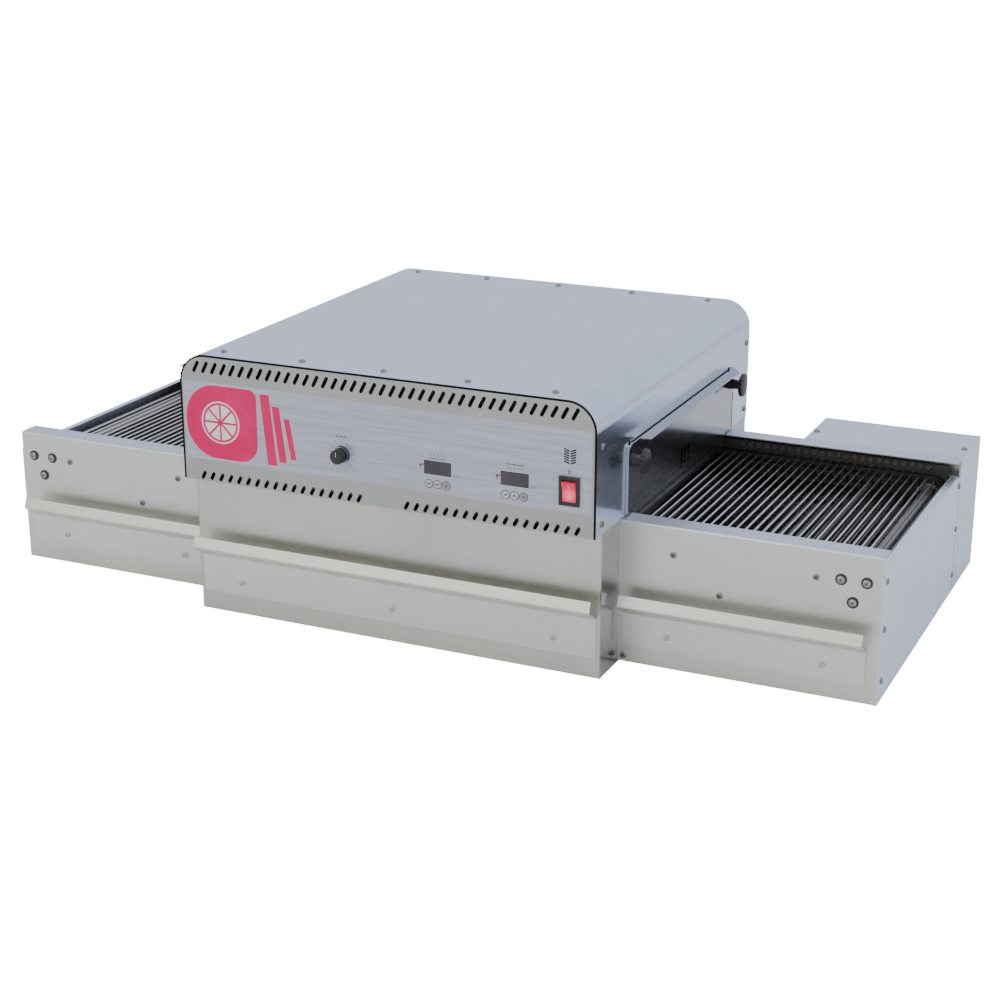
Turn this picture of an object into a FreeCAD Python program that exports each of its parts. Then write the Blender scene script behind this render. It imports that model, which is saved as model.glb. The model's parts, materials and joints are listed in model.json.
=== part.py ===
import FreeCAD, Part
import math
import os

# Conveyor pizza oven, millimetres.
# X runs along the conveyor, +Y to the back, +Z up.
# The origin is the centre of the body's base, in the plane that stands on the counter.

# Body
body_width = 645.0
body_height = 401.7
corner_radius = 42.0
front_room = 79.0
back_room = 94.0
panel_overhang = 28.3
hood_sheet = 1.2
body_sheet = 1.5
gasket = 1.6
panel_return = 50.0
rear_return = 40.0
base_rim = 20.0
rear_vent_height = 120.0
rear_vent_rise = 30.0
gland_x = -240.0
gland_height = 60.0
gland_radius = 12.5
gland_bore = 7.0
gland_hex = 17.0
gland_nut = 6.0
slip = 0.3
fit = 0.1

# Trays beside the body
overall_length = 1381.8
tray_lift = 2.5
rail_height = 212.5
tray_room = 20.5
tray_sheet = 1.5
tray_bend = 1.2
rail_flange = 34.5
conveyor_offset = -7.5
skirt_gap = 0.9
end_drop = 23.6
end_lip = 14.0
end_bend = 4.0
end_flange = 30.0

# Belt
chain_pitch = 12.7
sprocket_teeth = 9
shaft_height = 165.0
end_reach = 39.5
shaft_radius = 10.0
rod_radius = 1.5
rod_half_length = 200.5
chain_inner_gap = 8.0
chain_plate = 3.0
chain_height = 11.8
roller_radius = 3.96
sprocket_width = 7.2
rail_sheet = 2.0
rail_room = 2.0
rail_rise = 39.0
rail_fall = 34.0
crossbar_radius = 4.0
crossbar_count = 5
spacer_radius = 6.0
spacer_height = 172.8
spacer_near = 77.5
spacer_far = 50.9
guide_height = 2.8

# Chamber
mouth_drop = 126.7
mouth_bottom = 129.0
chamber_drop = 75.7
chamber_base = 112.0
chamber_room = 6.5
liner_sheet = 1.0
liner_split = 35.0
wall_insulation = 24.0
roof_insulation = 40.0
base_insulation = 26.0
heater_count = 4
heater_spacing = 150.0
heater_leg_gap = 74.0
heater_radius = 4.0
heater_room = 26.0
lower_heater_room = 9.0
heater_stub = 12.0
heater_back_gap = 35.0
heater_bead = 8.0
probe_radius = 2.5
probe_drop = 14.0
probe_reach = 70.0
probe_head = 14.0

# Gates
gate_overlap_front = 3.5
gate_overlap_back = 16.5
gate_drop = 87.7
gate_tongue = 22.0
gate_sheet = 1.5
gate_lip = 19.5
gate_lip_start = 44.0
gate_lip_taper = 26.0
gate_edge = 4.0
gate_corner = 13.0
gate_travel = 22.0
gate_slot_pitch = 15.0
gate_slot_shift = 9.5
gate_slot_rise = 9.4
gate_slot_length = 22.0
gate_slot_radius = 3.5
stud_drop = 22.0
stud_inset_front = 12.0
stud_inset_back = 19.5
stud_radius = 4.0
stud_slot = 13.0
stud_head = 6.0
stud_reach = 17.0
knob_base = 8.6
knob_neck = 6.2
knob_head = 18.0
knob_head_length = 6.5
knob_length = 25.0
knob_rim = 2.0

# Crumb drawers
drawer_bottom = 36.0
drawer_wall = 30.0
drawer_sheet = 1.0
drawer_room = 4.0
drawer_plate_bottom = 30.0
drawer_plate_sheet = 1.5
drawer_screw_height = 50.0
side_plate_near = 7.5
side_plate_far = 17.9
centre_plate_inset = 7.5
side_lip_top = 110.6
centre_lip_top = 120.8
lip_reach = 28.5
lip_mouth = 21.5
lip_fall = 32.0
lip_shoulder = 15.0
lip_bend = 1.5
drawer_inset = 10.0
centre_side_room = 13.0
drawer_length = 420.0
centre_drawer_length = 500.0
runner_ledge = 12.0
runner_rise = 14.0
side_screw_near = 63.7
side_screw_far = 58.8
centre_screw_pitch = 250.5

# Control panel
overlay_sheet = 0.4
overlay_half = 317.0
overlay_rise = 32.6
overlay_drop = 38.7
vent_pitch = 15.05
vent_width = 5.4
vent_tilt = 28.0
top_vent_count = 40
top_vent_drop = 18.0
top_vent_length = 19.0
top_vent_shift = -1.5
low_vent_count = 18
low_vent_rise = 8.3
low_vent_length = 13.6
low_vent_gap = 74.5
low_vent_shift = 3.6
window_width = 40.0
window_height = 18.5
window_centres = (89.5, 205.0)
window_rise = 23.3
key_radius = 5.1
key_pitch = 13.4
key_rise = 13.2
key_travel = 0.7
key_proud = 0.7
key_flange = 1.2
knob_x = -60.0
knob_rise = 23.4
dial_skirt = 13.0
dial_radius = 11.2
dial_nose = 10.2
dial_length = 13.0
dial_skirt_length = 4.0
dial_shaft = 3.0
rocker_x = 284.7
rocker_rise = 17.8
bezel_width = 29.7
bezel_height = 40.7
bezel_proud = 2.5
rocker_tilt = 9.0
rocker_pivot_depth = 1.6
rocker_half_width = 9.7
rocker_half_height = 14.2
switch_half_width = 12.4
switch_half_height = 18.2
switch_depth = 24.0
switch_blade = 10.0
indicator_offset = 26.0
indicator_radius = 2.0
bushing_radius = 4.5
board_front = 2.4
controller_half = 34.0
controller_depth = 18.0
controller_below = 10.0
controller_above = 14.0
post_inset = 3.0
speed_can_radius = 12.0
speed_can_depth = 12.0

# Control gear on the insulation jacket
gear_drop = 40.0
gear_rail_start = -285.0
gear_rail_end = 60.0
gear_rail_half = 17.5
gear_rail_depth = 7.5
contactor_starts = (-270.0, -215.0)
contactor_width = 45.0
contactor_depth = 48.0
contactor_below = 22.0
contactor_above = 27.0
terminal_start = -130.0
terminal_end = -40.0
terminal_depth = 42.0
terminal_above = 18.0
driver_start = 100.0
driver_end = 185.0
driver_depth = 30.0
driver_half = 26.0

# Drive box
drive_box_length = 247.9
drive_box_depth = 124.7
drive_box_ledge = 16.0
cover_wrap = 20.0
drive_teeth = 14
motor_teeth = 10
motor_room = 117.0
motor_height = 78.0
motor_radius = 30.0
motor_end_room = 12.0
motor_shaft = 7.0
gearbox_half = 34.0
gearbox_rise = 38.0
gearbox_depth = 62.0
gearbox_gap = 9.0
drive_line = 19.0

# Fasteners
screw_head = 4.5
screw_head_height = 2.2
screw_shank = 2.0
bearing_bolt_circle = 20.0
bearing_flange = 27.0
bearing_flange_depth = 4.0
bearing_hub = 16.5
bearing_depth = 16.0
bearing_bolt = 3.0
bearing_bolt_head = 5.6
bearing_bolt_rise = 3.4
bearing_washer = 8.0
bearing_washer_depth = 1.2
top_screw_pitch = 129.0
front_screw_shift = 7.0
hood_front_screw = 29.3
hood_back_screw = 23.0
hood_side_screw_front = 22.8
hood_side_screw_back = 14.5
hood_side_screw_low = 15.1
hood_side_screw_drop = 64.7
end_screw_front = 18.0
end_screw_back = 25.0
end_screw_low = 30.5
end_screw_middle = 104.5
end_screw_drop = 13.9
cover_screw_near = 7.5
cover_screw_far = 9.1
cover_screw_back = 44.0
rivet_reach = 24.5
rivet_height = 124.5
low_rivet_reach = 8.0
low_rivet_height = 12.7

# Planes worked out from the sizes above
side_x = body_width / 2
chain_line = rod_half_length + chain_plate + chain_inner_gap / 2
rail_inside = chain_line + chain_inner_gap / 2 + chain_plate + rail_room
rail_front_y = conveyor_offset - rail_inside
rail_back_y = conveyor_offset + rail_inside
mouth_half = rail_inside + rail_sheet + 2.0
chamber_half_depth = rail_inside + rail_sheet + chamber_room
chamber_front = conveyor_offset - chamber_half_depth
chamber_back = conveyor_offset + chamber_half_depth
body_front = chamber_front - front_room
body_back = chamber_back + back_room
panel_front = body_front - panel_overhang
skirt_bottom = rail_height + skirt_gap
hood_inside = side_x - hood_sheet
plate_out = hood_inside
plate_in = plate_out - body_sheet
end_x = overall_length / 2
tray_half = rail_inside + rail_sheet + tray_room
tray_front = conveyor_offset - tray_half
tray_back = conveyor_offset + tray_half
tray_base = tray_lift
tray_end = end_x - tray_sheet
end_top = rail_height - end_drop
run_pitches = math.floor((overall_length - 2 * end_reach) / chain_pitch) + 0.5
shaft_x = run_pitches * chain_pitch / 2
pitch_radius = chain_pitch / 2 / math.sin(math.pi / sprocket_teeth)
mouth_top = body_height - mouth_drop
chamber_roof = body_height - chamber_drop
jacket_front = chamber_front - wall_insulation
jacket_back = chamber_back + wall_insulation
jacket_top = chamber_roof + roof_insulation
jacket_base = chamber_base - base_insulation
upper_heater_height = chamber_roof - heater_room
lower_heater_height = chamber_base + lower_heater_room
probe_heights = (upper_heater_height - probe_drop, lower_heater_height)
gate_front = conveyor_offset - mouth_half - gate_overlap_front
gate_back = conveyor_offset + mouth_half + gate_overlap_back
gate_top = body_height - gate_drop
gate_low = skirt_bottom + 1.2
gate_in = side_x + slip
gate_out = gate_in + gate_sheet
stud_height = gate_top - stud_drop
stud_front = gate_front + stud_inset_front
stud_back = gate_back - stud_inset_back
side_plate_start = side_x + side_plate_near
side_plate_end = end_x - side_plate_far
centre_plate_half = side_x - centre_plate_inset
drive_box_start = end_x - drive_box_length
motor_x = drive_box_start + motor_room
panel_half = hood_inside - gasket
panel_top = body_height - hood_sheet - gasket
panel_radius = corner_radius - hood_sheet - gasket
panel_back = panel_front + body_sheet
overlay_front = panel_front - overlay_sheet
overlay_bottom = skirt_bottom + overlay_rise
overlay_top = body_height - overlay_drop
top_vent_height = body_height - top_vent_drop
low_vent_height = skirt_bottom + low_vent_rise
key_level = overlay_bottom + key_rise
window_level = key_level + window_rise
knob_level = overlay_bottom + key_rise + knob_rise
rocker_level = overlay_bottom + key_rise + rocker_rise
hood_front_screw_y = panel_front + hood_front_screw
hood_back_screw_y = body_back - hood_back_screw
hood_side_screw_y = (panel_front + hood_side_screw_front, body_back - hood_side_screw_back)
hood_side_screw_z = (skirt_bottom + hood_side_screw_low, body_height - hood_side_screw_drop)
end_screw_y = (tray_front + end_screw_front, tray_back - end_screw_back)
end_screw_z = (tray_base + end_screw_low, tray_base + end_screw_middle, end_top - end_screw_drop)
spacer_places = ((side_x + spacer_near, spacer_height), (shaft_x - spacer_far, spacer_height))
rivet_places = ((drive_box_start + rivet_reach, rivet_height), (side_x + low_rivet_reach, low_rivet_height))
cover_screw_x = (drive_box_start + cover_screw_near, end_x - cover_screw_far)
cover_screw_y = tray_back + cover_screw_back
side_screw_x = (side_plate_start + side_screw_near, side_plate_end - side_screw_far)
centre_screw_x = (-centre_screw_pitch, 0.0, centre_screw_pitch)


def vec(x, y, z):
    return FreeCAD.Vector(x, y, z)


def box(x0, x1, y0, y1, z0, z1):
    return Part.makeBox(x1 - x0, y1 - y0, z1 - z0, vec(x0, y0, z0))


def along_x(y, z, x0, x1, radius):
    return Part.makeCylinder(radius, x1 - x0, vec(x0, y, z), vec(1, 0, 0))


def along_y(x, z, y0, y1, radius):
    return Part.makeCylinder(radius, y1 - y0, vec(x, y0, z), vec(0, 1, 0))


def merge(shapes):
    result = shapes[0]
    for shape in shapes[1:]:
        result = result.fuse(shape)
    return result.removeSplitter()


def mirror_x(shape):
    return shape.mirror(vec(0, 0, 0), vec(1, 0, 0))


def polygon(points):
    return Part.Face(Part.makePolygon(points + [points[0]]))


def folded_face(points, thickness, bend, place):
    """Section of a bent strip. Its sheet lies to the left of the points, and bend is the inside radius."""
    near, far = [], []
    for index, (a, b) in enumerate(points):
        if index in (0, len(points) - 1):
            u, v = direction(points[0], points[1]) if index == 0 else direction(points[-2], points[-1])
            near.append([(a, b)])
            far.append([(a - v * thickness, b + u * thickness)])
            continue
        u0, v0 = direction(points[index - 1], points[index])
        u1, v1 = direction(points[index], points[index + 1])
        turn = math.atan2(u0 * v1 - v0 * u1, u0 * u1 + v0 * v1)
        side = 1 if turn > 0 else -1
        near_radius = bend + thickness if side > 0 else bend
        far_radius = bend if side > 0 else bend + thickness
        reach = near_radius * math.tan(abs(turn) / 2)
        centre_a = a - u0 * reach - v0 * side * near_radius
        centre_b = b - v0 * reach + u0 * side * near_radius
        middle = math.atan2(v0, u0) - side * math.pi / 2 + turn / 2
        start = middle - turn / 2
        end = middle + turn / 2
        near.append([(centre_a + near_radius * math.cos(t), centre_b + near_radius * math.sin(t))
                     for t in (start, middle, end)])
        far.append([(centre_a + far_radius * math.cos(t), centre_b + far_radius * math.sin(t))
                    for t in (start, middle, end)])
    edges = run_edges(near, place)
    edges.append(Part.LineSegment(place(*near[-1][-1]), place(*far[-1][-1])).toShape())
    edges += run_edges(far, place)
    edges.append(Part.LineSegment(place(*far[0][0]), place(*near[0][0])).toShape())
    return Part.Face(Part.Wire(Part.__sortEdges__(edges)))


def direction(start, end):
    length = math.hypot(end[0] - start[0], end[1] - start[1])
    return (end[0] - start[0]) / length, (end[1] - start[1]) / length


def run_edges(corners, place):
    edges = []
    last = None
    for corner in corners:
        if last is not None:
            edges.append(Part.LineSegment(place(*last), place(*corner[0])).toShape())
        if len(corner) == 3:
            edges.append(Part.Arc(*[place(*point) for point in corner]).toShape())
        last = corner[-1]
    return edges


def ribbon(points, thickness):
    """Corners of a sharply folded strip: the polyline and its copy, offset to the left."""
    shifted = []
    for index, (a, b) in enumerate(points):
        directions = []
        if index > 0:
            directions.append(direction(points[index - 1], points[index]))
        if index < len(points) - 1:
            directions.append(direction(points[index], points[index + 1]))
        na = -sum(v for u, v in directions) / len(directions)
        nb = sum(u for u, v in directions) / len(directions)
        scale = thickness / (na * na + nb * nb)
        shifted.append((a + na * scale, b + nb * scale))
    return points + shifted[::-1]


def sheet_along_x(points, thickness, x0, x1, bend=0):
    if bend:
        face = folded_face(points, thickness, bend, lambda y, z: vec(x0, y, z))
    else:
        face = polygon([vec(x0, y, z) for y, z in ribbon(points, thickness)])
    return face.extrude(vec(x1 - x0, 0, 0))


def arch(half, top, radius, bottom, y0, y1):
    """Solid with the body's cross-section: upright sides and two round top corners."""
    bend = radius * math.sqrt(0.5)
    left = vec(-half, y0, top - radius)
    right = vec(half, y0, top - radius)
    left_top = vec(-half + radius, y0, top)
    right_top = vec(half - radius, y0, top)
    left_mid = vec(-half + radius - bend, y0, top - radius + bend)
    right_mid = vec(half - radius + bend, y0, top - radius + bend)
    edges = [
        Part.LineSegment(vec(-half, y0, bottom), left).toShape(),
        Part.Arc(left, left_mid, left_top).toShape(),
        Part.LineSegment(left_top, right_top).toShape(),
        Part.Arc(right_top, right_mid, right).toShape(),
        Part.LineSegment(right, vec(half, y0, bottom)).toShape(),
        Part.LineSegment(vec(half, y0, bottom), vec(-half, y0, bottom)).toShape(),
    ]
    return Part.Face(Part.Wire(edges)).extrude(vec(0, y1 - y0, 0))


def slot_y(x, z, length, width, tilt, y0, y1):
    """Round-ended slot through a wall that faces Y, leaning to +X by tilt degrees."""
    half = (length - width) / 2
    radius = width / 2
    corners = [vec(-radius, 0, -half), vec(-radius, 0, half), vec(radius, 0, half), vec(radius, 0, -half)]
    edges = [
        Part.LineSegment(corners[0], corners[1]).toShape(),
        Part.Arc(corners[1], vec(0, 0, half + radius), corners[2]).toShape(),
        Part.LineSegment(corners[2], corners[3]).toShape(),
        Part.Arc(corners[3], vec(0, 0, -half - radius), corners[0]).toShape(),
    ]
    solid = Part.Face(Part.Wire(edges)).extrude(vec(0, y1 - y0, 0))
    solid.rotate(vec(0, 0, 0), vec(0, 1, 0), tilt)
    solid.translate(vec(x, y0, z))
    return solid


def slot_x(y, z0, z1, radius, x0, x1):
    """Upright round-ended slot through a wall that faces X."""
    return merge([
        box(x0, x1, y - radius, y + radius, z0, z1),
        along_x(y, z0, x0, x1, radius),
        along_x(y, z1, x0, x1, radius),
    ])


def even_row(count, pitch, centre):
    return [centre + (index - (count - 1) / 2) * pitch for index in range(count)]


def write(name, shapes):
    solids = []
    for shape in shapes:
        solids.extend(shape.Solids)
    group = solids[0] if len(solids) == 1 else Part.makeCompound(solids)
    group.exportStep("parts/" + name + ".step")


# Fasteners: each place is (point, outward direction, depth of the shank)

def screw(place, head=screw_head, height=screw_head_height, shank=screw_shank):
    point, out, depth = place
    knob = Part.makeCylinder(head, height, point, out)
    pin = Part.makeCylinder(shank, depth, point - out * depth, out)
    return knob.fuse(pin)


def clearance(places, shank=screw_shank):
    tools = []
    for point, out, depth in places:
        tools.append(Part.makeCylinder(shank + fit, depth + 1.0, point - out * depth, out))
    return Part.makeCompound(tools)


out_front = vec(0, -1, 0)
out_back = vec(0, 1, 0)
out_right = vec(1, 0, 0)
out_left = vec(-1, 0, 0)
out_up = vec(0, 0, 1)


def hood_screw_places():
    places = []
    for x in even_row(5, top_screw_pitch, 0.0):
        near_row = vec(x - front_screw_shift, hood_front_screw_y, body_height)
        places.append((near_row, out_up, hood_sheet + gasket + body_sheet))
        places.append((vec(x, hood_back_screw_y, body_height), out_up, hood_sheet + hood_sheet))
    for z in hood_side_screw_z:
        for sign, out in ((1, out_right), (-1, out_left)):
            front_depth = hood_sheet + gasket + body_sheet
            places.append((vec(sign * side_x, hood_side_screw_y[0], z), out, front_depth))
            places.append((vec(sign * side_x, hood_side_screw_y[1], z), out, 2 * hood_sheet))
    return places


def end_screw_places():
    places = []
    for y in end_screw_y:
        for z in end_screw_z:
            places.append((vec(end_x, y, z), out_right, 2 * tray_sheet))
            places.append((vec(-end_x, y, z), out_left, 2 * tray_sheet))
    return places


def tray_screw_places():
    places = []
    for sign in (1, -1):
        for x, z in spacer_places + rivet_places:
            places.append((vec(sign * x, tray_front, z), out_front, tray_sheet))
        for x, z in spacer_places:
            places.append((vec(sign * x, tray_back, z), out_back, tray_sheet))
    return places


def cover_screw_places():
    return [(vec(x, cover_screw_y, rail_height), out_up, tray_sheet + 1.0) for x in cover_screw_x]


def bearing_centres():
    return [(sign * shaft_x, side) for sign in (1, -1) for side in (-1, 1)]


def bearing_bolt_places():
    places = []
    for x, side in bearing_centres():
        wall = tray_front if side < 0 else tray_back
        out = out_front if side < 0 else out_back
        for angle in (30.0, 150.0, 270.0):
            dx = bearing_bolt_circle * math.cos(math.radians(angle))
            dz = bearing_bolt_circle * math.sin(math.radians(angle))
            places.append((vec(x + dx, wall, shaft_height + dz), out, tray_sheet + bearing_flange_depth))
    return places


# Body shell

def hood():
    outer = arch(side_x, body_height, corner_radius, skirt_bottom, panel_front, body_back)
    inner = arch(hood_inside, body_height - hood_sheet, corner_radius - hood_sheet,
                 skirt_bottom - 1, panel_front - 1, body_back + 1)
    mouth = box(-side_x - 1, side_x + 1, conveyor_offset - mouth_half, conveyor_offset + mouth_half,
                skirt_bottom - 1, mouth_top)
    shell = outer.cut(inner).cut(mouth)
    return shell.cut(clearance(hood_screw_places())).cut(stud_slots())


def stud_slots():
    tools = []
    for y in (stud_front, stud_back):
        top = stud_height + gate_travel
        tools.append(slot_x(y, stud_height, top, stud_radius + 0.6, -side_x - 1, side_x + 1))
    return Part.makeCompound(tools)


def hood_gasket():
    outer = arch(hood_inside, body_height - hood_sheet, corner_radius - hood_sheet,
                 skirt_bottom, panel_front, panel_front + panel_return)
    inner = arch(panel_half, panel_top, panel_radius, skirt_bottom - 1,
                 panel_front - 1, panel_front + panel_return + 1)
    return outer.cut(inner).cut(clearance(hood_screw_places()))


def side_plate(sign):
    low = box(plate_in, plate_out, body_front, body_back, 0, skirt_bottom)
    high = box(plate_in, plate_out, panel_front + panel_return, body_back - rear_return,
               skirt_bottom, mouth_top + 75)
    mouth = box(plate_in - 1, plate_out + 1, conveyor_offset - mouth_half,
                conveyor_offset + mouth_half, mouth_bottom, mouth_top)
    plate = merge([low, high]).cut(mouth).cut(stud_slots())
    return plate if sign > 0 else mirror_x(plate)


def base_pan():
    wall = body_sheet
    outer = box(-plate_in, plate_in, body_front + wall, body_back - wall, 0, base_rim)
    half = plate_in - wall
    inner = box(-half, half, body_front + 2 * wall, body_back - 2 * wall, wall, base_rim + 1)
    return outer.cut(inner)


def drawer_opening_top():
    return drawer_bottom + drawer_wall + drawer_room


def lower_front_panel():
    low = box(-plate_in, plate_in, body_front, body_front + body_sheet, 0, skirt_bottom)
    high = box(-plate_in + 10, plate_in - 10, body_front, body_front + body_sheet,
               skirt_bottom, skirt_bottom + 22)
    half = centre_plate_half - drawer_inset - centre_side_room + 2
    opening = box(-half, half, body_front - 1, body_front + body_sheet + 1,
                  drawer_bottom - 3, drawer_opening_top())
    return merge([low, high]).cut(opening)


def rear_panel():
    y0 = body_back - body_sheet
    low = box(-plate_in, plate_in, y0, body_back, 0, skirt_bottom)
    high = arch(hood_inside, body_height - hood_sheet, corner_radius - hood_sheet,
                skirt_bottom, body_back - rear_return, body_back)
    hollow = arch(hood_inside - hood_sheet, body_height - 2 * hood_sheet, corner_radius - 2 * hood_sheet,
                  skirt_bottom - 1, body_back - rear_return - 1, y0)
    panel = merge([low, high.cut(hollow)])
    slots = []
    for x in even_row(top_vent_count // 2, vent_pitch, 0.0):
        for z in (rear_vent_height, rear_vent_height + rear_vent_rise):
            slots.append(slot_y(x, z, top_vent_length, vent_width, 0.0, y0 - 1, body_back + 1))
    holes = [along_y(gland_x, gland_height, y0 - 1, body_back + 1, gland_radius + fit)]
    tools = Part.makeCompound(slots + holes)
    return panel.cut(tools).cut(clearance(hood_screw_places()))


def mains_gland():
    wall = body_back - body_sheet
    collar = Part.Face(hexagon(gland_x, body_back, gland_height, gland_hex)).extrude(vec(0, 7, 0))
    stem = along_y(gland_x, gland_height, wall - gland_nut - 3, body_back + 1, gland_radius)
    cap_start = vec(gland_x, body_back + 7, gland_height)
    cap = Part.makeCone(gland_hex - 1.5, gland_hex - 6, 16, cap_start, out_back)
    bore = along_y(gland_x, gland_height, wall - 20, body_back + 40, gland_bore)
    body = merge([collar, stem, cap]).cut(bore)
    hexagon_face = Part.Face(hexagon(gland_x, wall - gland_nut, gland_height, gland_hex))
    nut = hexagon_face.extrude(vec(0, gland_nut, 0))
    nut = nut.cut(along_y(gland_x, gland_height, wall - 20, wall + 1, gland_radius))
    return [body, nut]


def hexagon(x, y, z, radius):
    points = []
    for index in range(6):
        angle = math.radians(60 * index)
        points.append(vec(x + radius * math.cos(angle), y, z + radius * math.sin(angle)))
    return Part.makePolygon(points + [points[0]])


# Control panel and what it carries

def vent_slots(y0, y1):
    slots = []
    for x in even_row(top_vent_count, vent_pitch, top_vent_shift):
        slots.append(slot_y(x, top_vent_height, top_vent_length, vent_width, vent_tilt, y0, y1))
    group_half = (low_vent_count - 1) * vent_pitch / 2
    for sign in (-1, 1):
        centre = low_vent_shift + sign * (low_vent_gap / 2 + group_half)
        for x in even_row(low_vent_count, vent_pitch, centre):
            slots.append(slot_y(x, low_vent_height, low_vent_length, vent_width, vent_tilt, y0, y1))
    return Part.makeCompound(slots)


def key_places():
    places = []
    for centre in window_centres:
        for x in even_row(3, key_pitch, centre - 0.2):
            places.append(x)
    return places


def panel_openings(y0, y1):
    """Holes that the overlay and the panel share."""
    tools = []
    for x in window_centres:
        tools.append(box(x - window_width / 2, x + window_width / 2, y0, y1,
                         window_level - window_height / 2, window_level + window_height / 2))
        tools.append(along_y(x - indicator_offset, window_level + 2, y0, y1, indicator_radius))
    for x in key_places():
        tools.append(along_y(x, key_level, y0, y1, key_radius + slip))
    tools.append(along_y(knob_x, knob_level, y0, y1, bushing_radius))
    tools.append(box(rocker_x - switch_half_width, rocker_x + switch_half_width, y0, y1,
                     rocker_level - switch_half_height, rocker_level + switch_half_height))
    return Part.makeCompound(tools)


def control_panel():
    face = arch(panel_half, panel_top, panel_radius, skirt_bottom, panel_front, panel_back)
    ring = arch(panel_half, panel_top, panel_radius, skirt_bottom, panel_front, panel_front + panel_return)
    hollow = arch(panel_half - body_sheet, panel_top - body_sheet, panel_radius - body_sheet,
                  skirt_bottom - 1, panel_front - 1, panel_front + panel_return + 1)
    shelf = box(-panel_half, panel_half, panel_front, body_front, skirt_bottom, skirt_bottom + body_sheet)
    panel = merge([face, ring.cut(hollow), shelf])
    panel = panel.cut(vent_slots(panel_front - 1, panel_back + 1))
    panel = panel.cut(panel_openings(panel_front - 1, panel_back + 1))
    return panel.cut(clearance(hood_screw_places()))


def panel_overlay():
    label = box(-overlay_half, overlay_half, overlay_front, panel_front, overlay_bottom, overlay_top)
    return label.cut(panel_openings(overlay_front - 1, panel_front + 1))


def display_windows():
    solids = []
    for x in window_centres:
        solids.append(box(x - window_width / 2, x + window_width / 2, overlay_front, panel_back + 1.3,
                          window_level - window_height / 2, window_level + window_height / 2))
        solids.append(along_y(x - indicator_offset, window_level + 2, overlay_front - 0.6, panel_back + 1,
                              indicator_radius))
    return solids


def panel_electronics():
    """Two temperature controllers behind their windows and keys, and the speed potentiometer."""
    solids = []
    y0 = panel_back + board_front
    for x in window_centres:
        low = key_level - controller_below
        high = window_level + controller_above
        case = box(x - controller_half, x + controller_half, y0, y0 + controller_depth, low, high)
        posts = []
        for dx in (post_inset - controller_half, controller_half - post_inset):
            for z in (low + post_inset, high - post_inset):
                posts.append(along_y(x + dx, z, panel_back, y0 + 1, 2.0))
        solids.append(merge([case] + posts))
    can = along_y(knob_x, knob_level, panel_back, panel_back + speed_can_depth, speed_can_radius)
    collar = along_y(knob_x, knob_level, overlay_front, panel_back + 1, bushing_radius)
    bore = along_y(knob_x, knob_level, overlay_front - 1, panel_back + 8.3, dial_shaft + 0.05)
    solids.append(merge([can, collar]).cut(bore))
    return solids


def speed_knob():
    back = overlay_front - slip
    shoulder = back - dial_skirt_length
    skirt = along_y(knob_x, knob_level, shoulder, back, dial_skirt)
    cap = Part.makeCone(dial_radius, dial_nose, dial_length, vec(knob_x, shoulder, knob_level), out_front)
    nose = shoulder - dial_length
    notch = box(knob_x - 0.8, knob_x + 0.8, nose - 1, nose + 0.8,
                knob_level + 1, knob_level + dial_nose + 1.8)
    knob = merge([skirt, cap]).cut(notch)
    shaft = along_y(knob_x, knob_level, back - 10, panel_back + 8, dial_shaft)
    return [knob.cut(shaft), shaft]


def key(x):
    front = overlay_front - key_proud
    cap = along_y(x, key_level, front, panel_back + 1.0, key_radius)
    behind = panel_back + slip
    flange = along_y(x, key_level, behind, behind + key_flange, key_radius + key_flange)
    return merge([cap, flange])


def pivot_y():
    return overlay_front + rocker_pivot_depth


def switch_bezel():
    frame = box(rocker_x - bezel_width / 2, rocker_x + bezel_width / 2, overlay_front - bezel_proud,
                overlay_front, rocker_level - bezel_height / 2, rocker_level + bezel_height / 2)
    blade_start = overlay_front + switch_depth
    case = box(rocker_x - switch_half_width, rocker_x + switch_half_width, overlay_front, blade_start,
               rocker_level - switch_half_height, rocker_level + switch_half_height)
    pocket = box(rocker_x - rocker_half_width - 0.5, rocker_x + rocker_half_width + 0.5,
                 overlay_front - bezel_proud - 1, pivot_y() + 8,
                 rocker_level - rocker_half_height - 1.2, rocker_level + rocker_half_height + 1.2)
    pin = along_x(pivot_y(), rocker_level, rocker_x - rocker_half_width - 0.5,
                  rocker_x + rocker_half_width + 0.5, 1.5)
    blades = [box(rocker_x + dx - 3, rocker_x + dx + 3, blade_start, blade_start + switch_blade,
                  rocker_level - 0.4, rocker_level + 0.4) for dx in (-7, 7)]
    return merge([frame, case]).cut(pocket).fuse(pin).fuse(blades)


def power_rocker():
    y, z = pivot_y(), rocker_level
    corners = [(-3.4, 0), (-5.8, rocker_half_height), (3, rocker_half_height - 2), (6, 0),
               (3, 2 - rocker_half_height), (-5.8, -rocker_half_height)]
    face = polygon([vec(rocker_x - rocker_half_width, y + dy, z + dz) for dy, dz in corners])
    rocker = face.extrude(vec(2 * rocker_half_width, 0, 0))
    hole = along_x(y, z, rocker_x - 20, rocker_x + 20, 1.5 + fit)
    rocker = rocker.cut(hole)
    rocker.rotate(vec(rocker_x, y, z), vec(1, 0, 0), rocker_tilt)
    return rocker


def control_gear():
    """DIN rail with two contactors and a terminal block, and the belt speed controller beside them."""
    wall = jacket_front - liner_sheet
    level = upper_heater_height - gear_drop
    low = level - contactor_below
    back = wall - gear_rail_depth
    rail = box(gear_rail_start, gear_rail_end, back, wall, level - gear_rail_half, level + gear_rail_half)
    contactors = [box(x, x + contactor_width, wall - contactor_depth, back, low, level + contactor_above)
                  for x in contactor_starts]
    terminals = box(terminal_start, terminal_end, wall - terminal_depth, back, low, level + terminal_above)
    driver = box(driver_start, driver_end, wall - driver_depth, wall,
                 level - driver_half, level + driver_half)
    return [rail] + contactors + [terminals, driver]


# Heated chamber

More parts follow.
